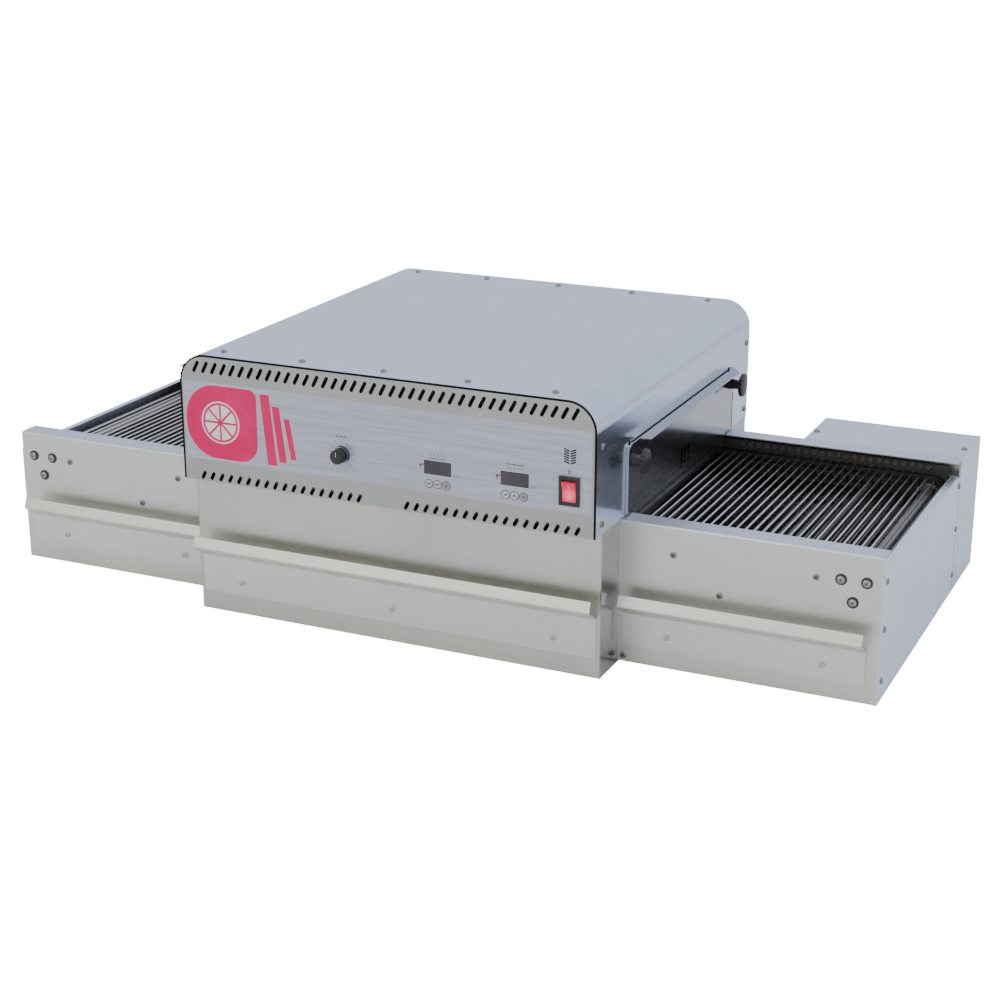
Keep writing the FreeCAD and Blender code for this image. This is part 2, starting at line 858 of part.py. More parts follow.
def heater_holes():
    tools = []
    for x in even_row(heater_count, heater_spacing, 0.0):
        for leg in (-heater_leg_gap / 2, heater_leg_gap / 2):
            for z in (upper_heater_height, lower_heater_height):
                tools.append(along_y(x + leg, z, jacket_front - 5, chamber_front + 5, heater_radius + slip))
    for z in probe_heights:
        tools.append(along_y(0, z, jacket_front - 5, chamber_front + 5, probe_radius + fit))
    return Part.makeCompound(tools)


def chamber_floor():
    points = [(chamber_front, shaft_height + liner_split), (chamber_front, chamber_base),
              (chamber_back, chamber_base), (chamber_back, shaft_height + liner_split)]
    return sheet_along_x(points, liner_sheet, -plate_in, plate_in).cut(heater_holes())


def chamber_roof_liner():
    points = [(chamber_back, shaft_height + liner_split), (chamber_back, chamber_roof),
              (chamber_front, chamber_roof), (chamber_front, shaft_height + liner_split)]
    return sheet_along_x(points, liner_sheet, -plate_in, plate_in).cut(heater_holes())


def insulation():
    half = plate_in
    return [
        box(-half, half, chamber_front, chamber_back, chamber_roof, jacket_top),
        box(-half, half, jacket_front, chamber_front, jacket_base, jacket_top).cut(heater_holes()),
        box(-half, half, chamber_back, jacket_back, jacket_base, jacket_top),
        box(-half, half, chamber_front, chamber_back, jacket_base, chamber_base),
    ]


def insulation_jacket():
    points = [(jacket_front, jacket_base), (jacket_front, jacket_top),
              (jacket_back, jacket_top), (jacket_back, jacket_base)]
    cover = sheet_along_x(points, liner_sheet, -plate_in, plate_in).cut(heater_holes())
    shelf = box(-plate_in, plate_in, jacket_front - liner_sheet, jacket_back + liner_sheet,
                jacket_base - liner_sheet, jacket_base)
    return [cover, shelf]


def heaters(z):
    solids = []
    start = jacket_front - heater_stub
    bend = heater_leg_gap / 2
    straight_end = chamber_back - heater_back_gap - bend
    for x in even_row(heater_count, heater_spacing, 0.0):
        near = vec(x - bend, start, z)
        near_end = vec(x - bend, straight_end, z)
        far_end = vec(x + bend, straight_end, z)
        far = vec(x + bend, start, z)
        path = Part.Wire([
            Part.LineSegment(near, near_end).toShape(),
            Part.Arc(near_end, vec(x, straight_end + bend, z), far_end).toShape(),
            Part.LineSegment(far_end, far).toShape(),
        ])
        profile = Part.Wire([Part.makeCircle(heater_radius, near, vec(0, 1, 0))])
        solids.append(path.makePipeShell([profile], True, False))
        for leg in (-bend, bend):
            bead = along_y(x + leg, z, start - heater_bead, start, heater_radius + 1.5)
            pin = along_y(x + leg, z, start - heater_bead - 12, start - heater_bead + 1, heater_radius / 2)
            solids.append(merge([bead, pin]))
    return solids


def temperature_probes():
    solids = []
    for z in probe_heights:
        rod = along_y(0, z, jacket_front - probe_head - 16, chamber_front + probe_reach, probe_radius)
        head = along_y(0, z, jacket_front - probe_head, jacket_front - liner_sheet, 2.4 * probe_radius)
        solids.append(merge([rod, head]))
    return solids


# Trays and end panels

def drawer_window(x0, x1):
    return box(x0, x1, tray_front - 1, tray_front + tray_sheet + 1, drawer_bottom - 3, drawer_opening_top())


def tray(sign):
    points = [(tray_front + rail_flange, rail_height), (tray_front, rail_height), (tray_front, tray_base),
              (tray_back, tray_base), (tray_back, rail_height), (tray_back - rail_flange, rail_height)]
    channel = sheet_along_x(points, tray_sheet, plate_out, tray_end, tray_bend)
    inner_front = tray_front + tray_sheet
    inner_back = tray_back - tray_sheet
    flanges = [
        box(tray_end - tray_sheet, tray_end, inner_front, inner_front + end_flange,
            tray_base + tray_sheet, drawer_bottom - 3),
        box(tray_end - tray_sheet, tray_end, inner_front, inner_front + end_flange,
            drawer_opening_top() + 2, end_top - 12),
        box(tray_end - tray_sheet, tray_end, inner_back - end_flange, inner_back,
            tray_base + tray_sheet, end_top - 12),
    ]
    shell = merge([channel] + flanges)
    x0 = side_plate_start + drawer_inset - 2
    x1 = side_plate_end - drawer_inset + 2
    shell = shell.cut(drawer_window(x0, x1))
    if sign < 0:
        shell = mirror_x(shell)
    tools = [clearance(bearing_bolt_places(), bearing_bolt), clearance(tray_screw_places()),
             clearance(end_screw_places())]
    if sign > 0:
        inside = tray_back - tray_sheet
        tools.append(along_y(shaft_x, shaft_height, inside - 1, tray_back + 1, shaft_radius + 2))
    return shell.cut(Part.makeCompound(tools))


def end_panel(sign):
    back = tray_back - cover_wrap if sign > 0 else tray_back
    plate = box(tray_end, end_x, tray_front, back, tray_base, end_top - end_bend)
    lip_front = tray_front + tray_sheet + 2
    lip_back = tray_back - tray_sheet - 2
    if sign > 0:
        lip_back = back
    outer = along_y(end_x - end_bend, end_top - end_bend, lip_front, lip_back, end_bend)
    inner = along_y(end_x - end_bend, end_top - end_bend, lip_front - 1, lip_back + 1, end_bend - tray_sheet)
    keep = box(end_x - end_bend, end_x, lip_front, lip_back, end_top - end_bend, end_top)
    bend = outer.cut(inner).common(keep)
    lip = box(end_x - end_lip, end_x - end_bend, lip_front, lip_back, end_top - tray_sheet, end_top)
    panel = merge([plate, bend, lip])
    if sign < 0:
        panel = mirror_x(panel)
    return panel.cut(clearance(end_screw_places()))


# Conveyor

def belt_point(index):
    """Place of one pitch of the belt, counted from above the idler shaft."""
    step = 2 * math.pi / sprocket_teeth
    half_turn = sprocket_teeth / 2
    if index <= run_pitches:
        return (-shaft_x + index * chain_pitch, shaft_height + pitch_radius)
    if index <= run_pitches + half_turn:
        angle = math.pi / 2 - (index - run_pitches) * step
        return (shaft_x + pitch_radius * math.cos(angle), shaft_height + pitch_radius * math.sin(angle))
    if index <= 2 * run_pitches + half_turn:
        along = index - run_pitches - half_turn
        return (shaft_x - along * chain_pitch, shaft_height - pitch_radius)
    angle = -math.pi / 2 - (index - 2 * run_pitches - half_turn) * step
    return (-shaft_x + pitch_radius * math.cos(angle), shaft_height + pitch_radius * math.sin(angle))


def belt_rods(upper):
    count = round(2 * run_pitches + sprocket_teeth)
    top_count = math.floor(run_pitches) + 1
    chosen = range(top_count) if upper else range(top_count, count)
    front = conveyor_offset - rod_half_length
    back = conveyor_offset + rod_half_length
    rods = []
    for index in chosen:
        x, z = belt_point(index)
        rods.append(along_y(x, z, front, back, rod_radius))
    return rods


def loop_band(x0, z0, r0, x1, z1, r1, offset, y0, y1):
    """Solid inside a chain loop round two wheels, grown outwards by offset."""
    length = math.hypot(x1 - x0, z1 - z0)
    heading = math.atan2(z1 - z0, x1 - x0)
    lean = math.acos((r0 - r1) / length)
    first, last = r0 + offset, r1 + offset

    def spot(x, z, radius, angle):
        return vec(x + radius * math.cos(angle), y0, z + radius * math.sin(angle))

    top_start = spot(x0, z0, first, heading + lean)
    top_end = spot(x1, z1, last, heading + lean)
    low_end = spot(x1, z1, last, heading - lean)
    low_start = spot(x0, z0, first, heading - lean)
    edges = [
        Part.LineSegment(top_start, top_end).toShape(),
        Part.Arc(top_end, spot(x1, z1, last, heading), low_end).toShape(),
        Part.LineSegment(low_end, low_start).toShape(),
        Part.Arc(low_start, spot(x0, z0, first, heading + math.pi), top_start).toShape(),
    ]
    return Part.Face(Part.Wire(edges)).extrude(vec(0, y1 - y0, 0))


def chain_loop(x0, z0, r0, x1, z1, r1, centre):
    """The two rows of side plates of a roller chain."""
    solids = []
    half = chain_height / 2
    for side in (-1, 1):
        inner = centre + side * chain_inner_gap / 2
        outer = inner + side * chain_plate
        y0, y1 = min(inner, outer), max(inner, outer)
        outside = loop_band(x0, z0, r0, x1, z1, r1, half, y0, y1)
        inside = loop_band(x0, z0, r0, x1, z1, r1, -half, y0 - 1, y1 + 1)
        solids.append(outside.cut(inside))
    return solids


def belt_chain(side):
    centre = conveyor_offset + side * chain_line
    return chain_loop(-shaft_x, shaft_height, pitch_radius, shaft_x, shaft_height, pitch_radius, centre)


def sprocket(x, z, y, teeth, phase, bore):
    radius = chain_pitch / 2 / math.sin(math.pi / teeth)
    tip = chain_pitch * (0.6 + 1 / math.tan(math.pi / teeth)) / 2
    half = sprocket_width / 2
    disc = along_y(x, z, y - half, y + half, tip)
    seat = roller_radius + fit
    tools = []
    for index in range(teeth):
        angle = phase + 2 * math.pi * index / teeth
        radial = (math.cos(angle), math.sin(angle))
        across = (-radial[1], radial[0])
        cx, cz = x + radius * radial[0], z + radius * radial[1]
        reach = tip - radius + 2
        wide = seat + reach * 0.35
        corners = [(0, -seat), (reach, -wide), (reach, wide), (0, seat)]
        gap = polygon([vec(cx + r * radial[0] + a * across[0], y - half, cz + r * radial[1] + a * across[1])
                       for r, a in corners]).extrude(vec(0, 2 * half, 0))
        tools.append(along_y(cx, cz, y - half, y + half, seat))
        tools.append(gap)
    wheel = disc.cut(Part.makeCompound(tools))
    hub = along_y(x, z, y - half - 2, y + half + 2, bore + 2.2)
    return merge([wheel, hub]).cut(along_y(x, z, y - half - 3, y + half + 3, bore))


def drive_phase():
    step = 2 * math.pi / sprocket_teeth
    return math.pi / 2 - (math.ceil(run_pitches) - run_pitches) * step


def drive_shaft():
    y0 = tray_front + tray_sheet + 2
    shaft = along_y(shaft_x, shaft_height, y0, tray_back + drive_line + 10, shaft_radius)
    wheels = [sprocket(shaft_x, shaft_height, conveyor_offset + side * chain_line, sprocket_teeth,
                       drive_phase(), shaft_radius) for side in (-1, 1)]
    driven = sprocket(shaft_x, shaft_height, tray_back + drive_line, drive_teeth, math.pi / 2, shaft_radius)
    return [shaft] + wheels + [driven]


def idler_shaft():
    y0 = tray_front + tray_sheet + 2
    shaft = along_y(-shaft_x, shaft_height, y0, tray_back - tray_sheet - 2, shaft_radius)
    wheels = [sprocket(-shaft_x, shaft_height, conveyor_offset + side * chain_line, sprocket_teeth,
                       math.pi / 2, shaft_radius) for side in (-1, 1)]
    return [shaft] + wheels


def shaft_bearings():
    solids = []
    for x, side in bearing_centres():
        inner = tray_front + tray_sheet if side < 0 else tray_back - tray_sheet
        flange_end = inner - side * bearing_flange_depth
        hub_end = inner - side * bearing_depth
        flange = along_y(x, shaft_height, min(inner, flange_end), max(inner, flange_end), bearing_flange)
        hub = along_y(x, shaft_height, min(inner, hub_end), max(inner, hub_end), bearing_hub)
        y0 = min(inner, hub_end) - 1
        y1 = max(inner, hub_end) + 1
        bore = along_y(x, shaft_height, y0, y1, shaft_radius + 0.05)
        solids.append(merge([flange, hub]).cut(bore).cut(clearance(bearing_bolt_places(), bearing_bolt)))
    return solids


def bearing_bolts():
    solids = []
    for point, out, depth in bearing_bolt_places():
        washer = Part.makeCylinder(bearing_washer, bearing_washer_depth, point, out)
        raised = (point + out * bearing_washer_depth, out, depth + bearing_washer_depth)
        bolt = screw(raised, bearing_bolt_head, bearing_bolt_rise, bearing_bolt)
        solids.append(washer.fuse(bolt))
    return solids


def conveyor_rails():
    z0 = shaft_height - rail_fall
    z1 = shaft_height + rail_rise
    solids = []
    end = end_x - end_lip - 4
    for y0, y1 in ((rail_front_y - rail_sheet, rail_front_y), (rail_back_y, rail_back_y + rail_sheet)):
        plate = box(-end, end, y0, y1, z0, z1)
        holes = [along_y(x, shaft_height, y0 - 1, y1 + 1, shaft_radius + 3) for x in (-shaft_x, shaft_x)]
        solids.append(plate.cut(Part.makeCompound(holes)))
    spread = 2 * spacer_places[-1][0] - 80
    for x in even_row(crossbar_count, spread / (crossbar_count - 1), 0.0):
        solids.append(along_y(x, shaft_height, rail_front_y, rail_back_y, crossbar_radius))
    for sign in (-1, 1):
        for x, z in spacer_places:
            for y0, y1 in ((tray_front + tray_sheet, rail_front_y - rail_sheet),
                           (rail_back_y + rail_sheet, tray_back - tray_sheet)):
                solids.append(along_y(sign * x, z, y0, y1, spacer_radius))
    return solids


def chain_guides():
    solids = []
    half = shaft_x - pitch_radius - 14
    for level in (shaft_height + pitch_radius, shaft_height - pitch_radius):
        top = level - chain_height / 2 - slip
        inner = chain_line - chain_inner_gap / 2 - chain_plate
        solids.append(box(-half, half, rail_front_y, conveyor_offset - inner, top - guide_height, top))
        solids.append(box(-half, half, conveyor_offset + inner, rail_back_y, top - guide_height, top))
    return solids


# Drive box

def drive_box():
    x1 = tray_end
    y1 = tray_back + drive_box_depth
    top = rail_height - tray_sheet
    floor = box(drive_box_start, x1, tray_back, y1, tray_base, tray_base + tray_sheet)
    back = box(drive_box_start, x1, y1 - tray_sheet, y1, tray_base, top)
    left = box(drive_box_start, drive_box_start + tray_sheet, tray_back, y1, tray_base, top)
    ledge_left = box(drive_box_start, drive_box_start + drive_box_ledge, tray_back, y1, top - 1.0, top)
    ledge_right = box(x1 - drive_box_ledge, x1, tray_back, y1, top - 1.0, top)
    shell = merge([floor, back, left, ledge_left, ledge_right])
    return shell.cut(clearance(cover_screw_places())).cut(clearance(tray_screw_places()))


def drive_box_cover():
    y1 = tray_back + drive_box_depth
    top = box(drive_box_start, end_x, tray_back, y1, rail_height - tray_sheet, rail_height)
    side = box(tray_end, end_x, tray_back - cover_wrap, y1, tray_base, rail_height)
    return merge([top, side]).cut(clearance(cover_screw_places()))


def gearmotor():
    y0 = tray_back + drive_line + gearbox_gap
    y1 = y0 + gearbox_depth
    floor = tray_base + tray_sheet
    low = motor_height - gearbox_rise
    x0 = motor_x - gearbox_half
    x1 = motor_x + gearbox_half
    gearbox = box(x0, x1, y0, y1, low, motor_height + gearbox_rise)
    motor_start = drive_box_start + motor_end_room
    motor = along_x(y0 + gearbox_depth / 2 + 2, motor_height - 2, motor_start, x0, motor_radius)
    bore = along_y(motor_x, motor_height, tray_back, y0 + gearbox_gap, motor_shaft + 0.05)
    stand = box(x0, x1, y0, y1, floor, low)
    hollow = box(x0 + 3, x1 - 3, y0 - 1, y1 + 1, floor - 1, low - 3)
    return [merge([gearbox, motor]).cut(bore), stand.cut(hollow)]


def motor_sprocket():
    y0 = tray_back + drive_line - gearbox_gap + 2
    y1 = tray_back + drive_line + 2 * gearbox_gap - 1
    shaft_end = along_y(motor_x, motor_height, y0, y1, motor_shaft)
    wheel = sprocket(motor_x, motor_height, tray_back + drive_line, motor_teeth, math.pi / 2, motor_shaft)
    return [shaft_end, wheel]


def drive_chain():
    big = chain_pitch / 2 / math.sin(math.pi / drive_teeth)
    small = chain_pitch / 2 / math.sin(math.pi / motor_teeth)
    return chain_loop(motor_x, motor_height, small, shaft_x, shaft_height, big, tray_back + drive_line)


# Crumb drawers

def lip_profile(plane, lip_top):
    """Front plate from its foot, out under the hand and up to the lip's edge."""
    inner = plane - slip
    return [
        (inner, drawer_plate_bottom),
        (inner, lip_top - lip_fall),
        (inner - lip_reach + drawer_plate_sheet, lip_top - lip_shoulder),
        (inner - lip_mouth, lip_top),
    ]


def drawer_front(plane, x0, x1, lip_top, screw_x):
    plate = sheet_along_x(lip_profile(plane, lip_top), drawer_plate_sheet, x0, x1, lip_bend)
    face = plane - slip - drawer_plate_sheet
    depth = drawer_plate_sheet + drawer_sheet
    places = [(vec(x, face, drawer_screw_height), out_front, depth) for x in screw_x]
    return [plate.cut(clearance(places))] + [screw(place) for place in places], places


def drawer_pan(plane, x0, x1, length, places):
    """Open pan welded from a floor, two long sides, a back and the front wall that takes the screws."""
    front = plane - slip
    back = front + length
    low = drawer_bottom + drawer_sheet
    top = drawer_bottom + drawer_wall
    floor = box(x0, x1, front, back, drawer_bottom, low)
    sides = [box(x0, x0 + drawer_sheet, front, back, low, top),
             box(x1 - drawer_sheet, x1, front, back, low, top)]
    rear = box(x0 + drawer_sheet, x1 - drawer_sheet, back - drawer_sheet, back, low, top)
    near = box(x0 + drawer_sheet, x1 - drawer_sheet, front, front + drawer_sheet, low, top)
    return [floor, near.cut(clearance(places)), rear] + sides


def side_drawer():
    x0 = side_plate_start + drawer_inset
    x1 = side_plate_end - drawer_inset
    front, places = drawer_front(tray_front, side_plate_start, side_plate_end, side_lip_top, side_screw_x)
    return drawer_pan(tray_front, x0, x1, drawer_length, places), front


def centre_drawer():
    half = centre_plate_half - drawer_inset - centre_side_room
    front, places = drawer_front(body_front, -centre_plate_half, centre_plate_half,
                                 centre_lip_top, centre_screw_x)
    return drawer_pan(body_front, -half, half, centre_drawer_length, places), front


def runner(edge, side, y0, y1, floor):
    """Runner welded from a foot on the floor, a web, and a ledge that the drawer slides on."""
    web = 1.5
    ledge_top = drawer_bottom - slip
    inner = edge - side * runner_ledge
    outer = edge + side * (slip + 0.7)
    toe = outer + side * runner_ledge
    face = outer + side * web
    foot = box(min(face, toe), max(face, toe), y0, y1, floor, floor + web)
    wall = box(min(outer, face), max(outer, face), y0, y1, floor, ledge_top + runner_rise)
    ledge = box(min(inner, outer), max(inner, outer), y0, y1, ledge_top - web, ledge_top)
    return [foot, wall, ledge]


def drawer_runners():
    x0 = side_plate_start + drawer_inset
    x1 = side_plate_end - drawer_inset
    floor = tray_base + tray_sheet
    y0 = tray_front + tray_sheet + 3
    y1 = tray_front + drawer_length - 5
    right = runner(x0, -1, y0, y1, floor) + runner(x1, 1, y0, y1, floor)
    left = [mirror_x(solid) for solid in right]
    half = centre_plate_half - drawer_inset - centre_side_room
    y2 = body_front + 2 * body_sheet + 3
    y3 = body_front + centre_drawer_length - 5
    centre = runner(-half, -1, y2, y3, body_sheet) + runner(half, 1, y2, y3, body_sheet)
    return right + left + centre


# Gates

def gate():
    """Right-hand gate: a sliding plate with a turned lip, and its two studs."""
    radius = gate_corner
    bend = radius * math.sqrt(0.5)

    def outline(inset):
        front = gate_front + inset
        top = gate_top - inset
        r = radius - inset
        b = bend - inset * math.sqrt(0.5)
        start = vec(gate_in, front, gate_low - (1 if inset else 0))
        side_end = vec(gate_in, front, top - r)
        top_start = vec(gate_in, front + r, top)
        back = gate_back + (1 if inset else 0)
        edges = [
            Part.LineSegment(start, side_end).toShape(),
            Part.Arc(side_end, vec(gate_in, front + r - b, top - r + b), top_start).toShape(),
            Part.LineSegment(top_start, vec(gate_in, back, top)).toShape(),
            Part.LineSegment(vec(gate_in, back, top), vec(gate_in, back, start.z)).toShape(),
            Part.LineSegment(vec(gate_in, back, start.z), start).toShape(),
        ]
        return Part.Face(Part.Wire(edges))

    plate = outline(0).extrude(vec(gate_sheet, 0, 0))
    rim = outline(0).extrude(vec(gate_edge, 0, 0)).cut(outline(gate_sheet).extrude(vec(gate_edge + 1, 0, 0)))
    tongue = box(gate_in, gate_out, tray_front + rail_flange + 2, tray_back - rail_flange - 3,
                 rail_height - gate_tongue, gate_low + 1)
    low = gate_top - gate_sheet
    lip = polygon([
        vec(gate_in, gate_front + gate_lip_start, low),
        vec(gate_in + gate_lip, gate_front + gate_lip_start, low),
        vec(gate_in + gate_lip, gate_back - gate_lip_taper, low),
        vec(gate_in, gate_back, low),
    ]).extrude(vec(0, 0, gate_sheet))
    shell = merge([plate, rim, tongue, lip])
    tools = []
    for y in (stud_front, stud_back):
        tools.append(slot_x(y, stud_height, stud_height + stud_slot, stud_radius, gate_in - 1, gate_out + 1))
    z0 = gate_low + gate_slot_rise
    for y in even_row(3, gate_slot_pitch, (gate_front + gate_back) / 2 + gate_slot_shift):
        tools.append(slot_x(y, z0, z0 + gate_slot_length, gate_slot_radius, gate_in - 1, gate_out + 1))
    shell = shell.cut(Part.makeCompound(tools))
    studs = []
    for y in (stud_front, stud_back):
        head = along_x(y, stud_height, plate_in - slip - 3, plate_in - slip, stud_head)
        pin = along_x(y, stud_height, plate_in - slip - 1, gate_out + stud_reach, stud_radius)
        studs.append(merge([head, pin]))
    return [shell] + studs


def gate_knob(y):
    start = gate_out + slip
    neck = Part.makeCone(knob_base, knob_neck, knob_length - knob_head_length + 1,
                         vec(start, y, stud_height), vec(1, 0, 0))
    head = along_x(y, stud_height, start + knob_length - knob_head_length, start + knob_length, knob_head)
    bore = along_x(y, stud_height, start - 1, gate_out + stud_reach + 2, stud_radius + fit)
    rims = [edge for edge in head.Edges if abs(edge.Length - 2 * math.pi * knob_head) < 0.1]
    head = head.makeFillet(knob_rim, rims)
    return merge([neck, head]).cut(bore)


def build():
    os.makedirs("parts", exist_ok=True)
    write("base_pan", [base_pan()])
    write("lower_front_panel", [lower_front_panel()])
    write("side_plate_right", [side_plate(1)])
    write("side_plate_left", [side_plate(-1)])
    write("rear_panel", [rear_panel()])
    write("hood", [hood()])
    write("hood_gasket", [hood_gasket()])
    write("control_panel", [control_panel()])
    write("panel_overlay", [panel_overlay()])
    write("display_windows", display_windows())
    write("panel_electronics", panel_electronics())
    write("switch_bezel", [switch_bezel()])
    write("control_gear", control_gear())
    write("mains_gland", mains_gland())

    write("chamber_floor", [chamber_floor()])
    write("chamber_roof", [chamber_roof_liner()])
    write("insulation", insulation())
    write("insulation_jacket", insulation_jacket())
    write("upper_heaters", heaters(upper_heater_height))
    write("lower_heaters", heaters(lower_heater_height))
    write("temperature_probes", temperature_probes())

    for name, sign in (("right", 1), ("left", -1)):
        write("tray_" + name, [tray(sign)])
        write("end_panel_" + name, [end_panel(sign)])
    write("conveyor_rails", conveyor_rails() + chain_guides())
    write("belt_rods_upper", belt_rods(True))
    write("belt_rods_return", belt_rods(False))
    write("belt_chains", belt_chain(-1) + belt_chain(1))
    write("shaft_bearings", shaft_bearings())
    write("bearing_bolts", bearing_bolts())
    write("drive_shaft", drive_shaft())
    write("idler_shaft", idler_shaft())

    write("drive_box", [drive_box()])
    write("drive_box_cover", [drive_box_cover()])
    write("gearmotor", gearmotor())
    write("motor_sprocket", motor_sprocket())
    write("drive_chain", drive_chain())

    places = hood_screw_places() + end_screw_places() + tray_screw_places() + cover_screw_places()
    write("casing_screws", [screw(place) for place in places])

    pan, front = side_drawer()
    write("crumb_drawer_right", pan)
    write("drawer_front_right", front)
    write("crumb_drawer_left", [mirror_x(solid) for solid in pan])
    write("drawer_front_left", [mirror_x(solid) for solid in front])
    pan, front = centre_drawer()
    write("crumb_drawer_centre", pan)
    write("drawer_front_centre", front)
    write("drawer_runners", drawer_runners())

    solids = gate()
    write("gate_right", solids)
    write("gate_left", [mirror_x(solid) for solid in solids])
    for name, y in (("front", stud_front), ("back", stud_back)):
        knob = gate_knob(y)
        write("gate_knob_right_" + name, [knob])
        write("gate_knob_left_" + name, [mirror_x(knob)])

    write("speed_knob", speed_knob())
    write("power_rocker", [power_rocker()])
    labels = ("upper_down", "upper_up", "upper_set", "lower_down", "lower_up", "lower_set")
    for label, x in zip(labels, key_places()):
        write("key_" + label, [key(x)])


build()
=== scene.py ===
import bpy
import bmesh
import json
import math
from mathutils import Matrix, Vector


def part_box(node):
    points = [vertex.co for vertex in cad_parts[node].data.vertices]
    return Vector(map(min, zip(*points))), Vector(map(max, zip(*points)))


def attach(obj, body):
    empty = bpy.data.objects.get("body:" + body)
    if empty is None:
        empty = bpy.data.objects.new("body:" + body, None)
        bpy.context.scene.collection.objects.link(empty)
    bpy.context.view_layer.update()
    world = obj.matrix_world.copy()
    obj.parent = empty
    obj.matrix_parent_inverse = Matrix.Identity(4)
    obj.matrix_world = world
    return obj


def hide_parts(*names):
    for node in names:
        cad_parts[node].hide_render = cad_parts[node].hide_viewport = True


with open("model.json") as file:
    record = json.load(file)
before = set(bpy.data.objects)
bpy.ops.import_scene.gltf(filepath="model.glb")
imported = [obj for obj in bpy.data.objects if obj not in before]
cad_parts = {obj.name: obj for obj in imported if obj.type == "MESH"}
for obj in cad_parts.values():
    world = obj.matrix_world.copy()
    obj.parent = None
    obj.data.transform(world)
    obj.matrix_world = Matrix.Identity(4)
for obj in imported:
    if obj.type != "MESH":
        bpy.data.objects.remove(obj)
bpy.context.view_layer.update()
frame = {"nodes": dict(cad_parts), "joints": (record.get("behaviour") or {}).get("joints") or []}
nodes = frame["nodes"]
print("oven loaded:", len(nodes), "sheet and machine parts")


def put(tree, kind, values=None, **settings):
    node = tree.nodes.new(kind)
    for key, value in settings.items():
        setattr(node, key, value)
    for key, value in (values or {}).items():
        node.inputs[key].default_value = value
    return node


def wire(tree, source, output, target, entry):
    tree.links.new(source.outputs[output], target.inputs[entry])


def times(tree, source, output, factor):
    # a value of the tree times a fixed factor
    node = put(tree, "ShaderNodeMath", operation="MULTIPLY")
    node.inputs[1].default_value = factor
    wire(tree, source, output, node, 0)
    return node


def newGroup(name, kind, inputs, outputs):
    tree = bpy.data.node_groups.new(name, kind)
    for label, socket, value in inputs:
        made = tree.interface.new_socket(label, in_out="INPUT", socket_type=socket)
        if value is not None:
            made.default_value = value
    for label, socket in outputs:
        tree.interface.new_socket(label, in_out="OUTPUT", socket_type=socket)
    return tree, tree.nodes.new("NodeGroupInput"), tree.nodes.new("NodeGroupOutput")


def newObject(name, data):
    made = bpy.data.objects.new(name, data)
    bpy.context.scene.collection.objects.link(made)
    return made


def newPiece(name, shape, material=None):
    # a finished bmesh as an object
    mesh = bpy.data.meshes.new(name)
    shape.to_mesh(mesh)
    shape.free()
    if material:
        mesh.materials.append(material)
    return newObject(name, mesh)


def makeBrushedGrain():
    # long streaks left by the polishing belt; Stretch squeezes the pattern across the grain
    tree, start, end = newGroup("brushedGrain", "ShaderNodeTree",
        [("Vector", "NodeSocketVector", None), ("Stretch", "NodeSocketVector", (2.0, 400.0, 400.0))],
        [("Streak", "NodeSocketFloat"), ("Height", "NodeSocketFloat")])
    squeeze = put(tree, "ShaderNodeVectorMath", operation="MULTIPLY")
    broad = put(tree, "ShaderNodeTexNoise", {"Scale": 1.0, "Detail": 3.0, "Roughness": 0.55})
    fine = put(tree, "ShaderNodeTexNoise", {"Scale": 3.4, "Detail": 2.0, "Roughness": 0.6})
    wire(tree, start, "Vector", squeeze, 0)
    wire(tree, start, "Stretch", squeeze, 1)
    for noise in (broad, fine):
        wire(tree, squeeze, "Vector", noise, "Vector")
    mix = put(tree, "ShaderNodeMath", operation="MULTIPLY_ADD")
    mix.inputs[1].default_value = 0.6
    wire(tree, fine, "Fac", mix, 0)
    wire(tree, broad, "Fac", mix, 2)
    wire(tree, broad, "Fac", end, "Streak")
    wire(tree, mix, "Value", end, "Height")
    return tree


def makeHandlingMarks():
    # cloudy patches where the sheet was wiped and touched
    tree, start, end = newGroup("handlingMarks", "ShaderNodeTree",
        [("Vector", "NodeSocketVector", None), ("Size", "NodeSocketFloat", 5.0)],
        [("Mask", "NodeSocketFloat")])
    cloud = put(tree, "ShaderNodeTexNoise", {"Detail": 4.0, "Roughness": 0.62, "Distortion": 0.6})
    curve = put(tree, "ShaderNodeMapRange", {"From Min": 0.36, "From Max": 0.7},
                interpolation_type="SMOOTHSTEP")
    wire(tree, start, "Vector", cloud, "Vector")
    wire(tree, start, "Size", cloud, "Scale")
    wire(tree, cloud, "Fac", curve, "Value")
    wire(tree, curve, "Result", end, "Mask")
    return tree


def makeSettledDust():
    # thin dust on whatever looks up; on the trays the same mask lays a painted bluish sky reflection over
    # upward faces
    tree, start, end = newGroup("settledDust", "ShaderNodeTree",
        [("Vector", "NodeSocketVector", None), ("Amount", "NodeSocketFloat", 0.2)],
        [("Mask", "NodeSocketFloat")])
    facing = put(tree, "ShaderNodeNewGeometry")
    split = put(tree, "ShaderNodeSeparateXYZ")
    up = put(tree, "ShaderNodeMapRange", {"From Min": 0.55, "From Max": 1.0})
    speck = put(tree, "ShaderNodeTexNoise", {"Scale": 60.0, "Detail": 5.0, "Roughness": 0.7})
    both = put(tree, "ShaderNodeMath", operation="MULTIPLY")
    scaled = put(tree, "ShaderNodeMath", operation="MULTIPLY")
    wire(tree, facing, "Normal", split, "Vector")
    wire(tree, split, "Z", up, "Value")
    wire(tree, start, "Vector", speck, "Vector")
    wire(tree, up, "Result", both, 0)
    wire(tree, speck, "Fac", both, 1)
    wire(tree, both, "Value", scaled, 0)
    wire(tree, start, "Amount", scaled, 1)
    wire(tree, scaled, "Value", end, "Mask")
    return tree


brushedGrain = makeBrushedGrain()
handlingMarks = makeHandlingMarks()
settledDust = makeSettledDust()


def useGroup(tree, group, values):
    node = tree.nodes.new("ShaderNodeGroup")
    node.node_tree = group
    for key, value in values.items():
        node.inputs[key].default_value = value
    return node


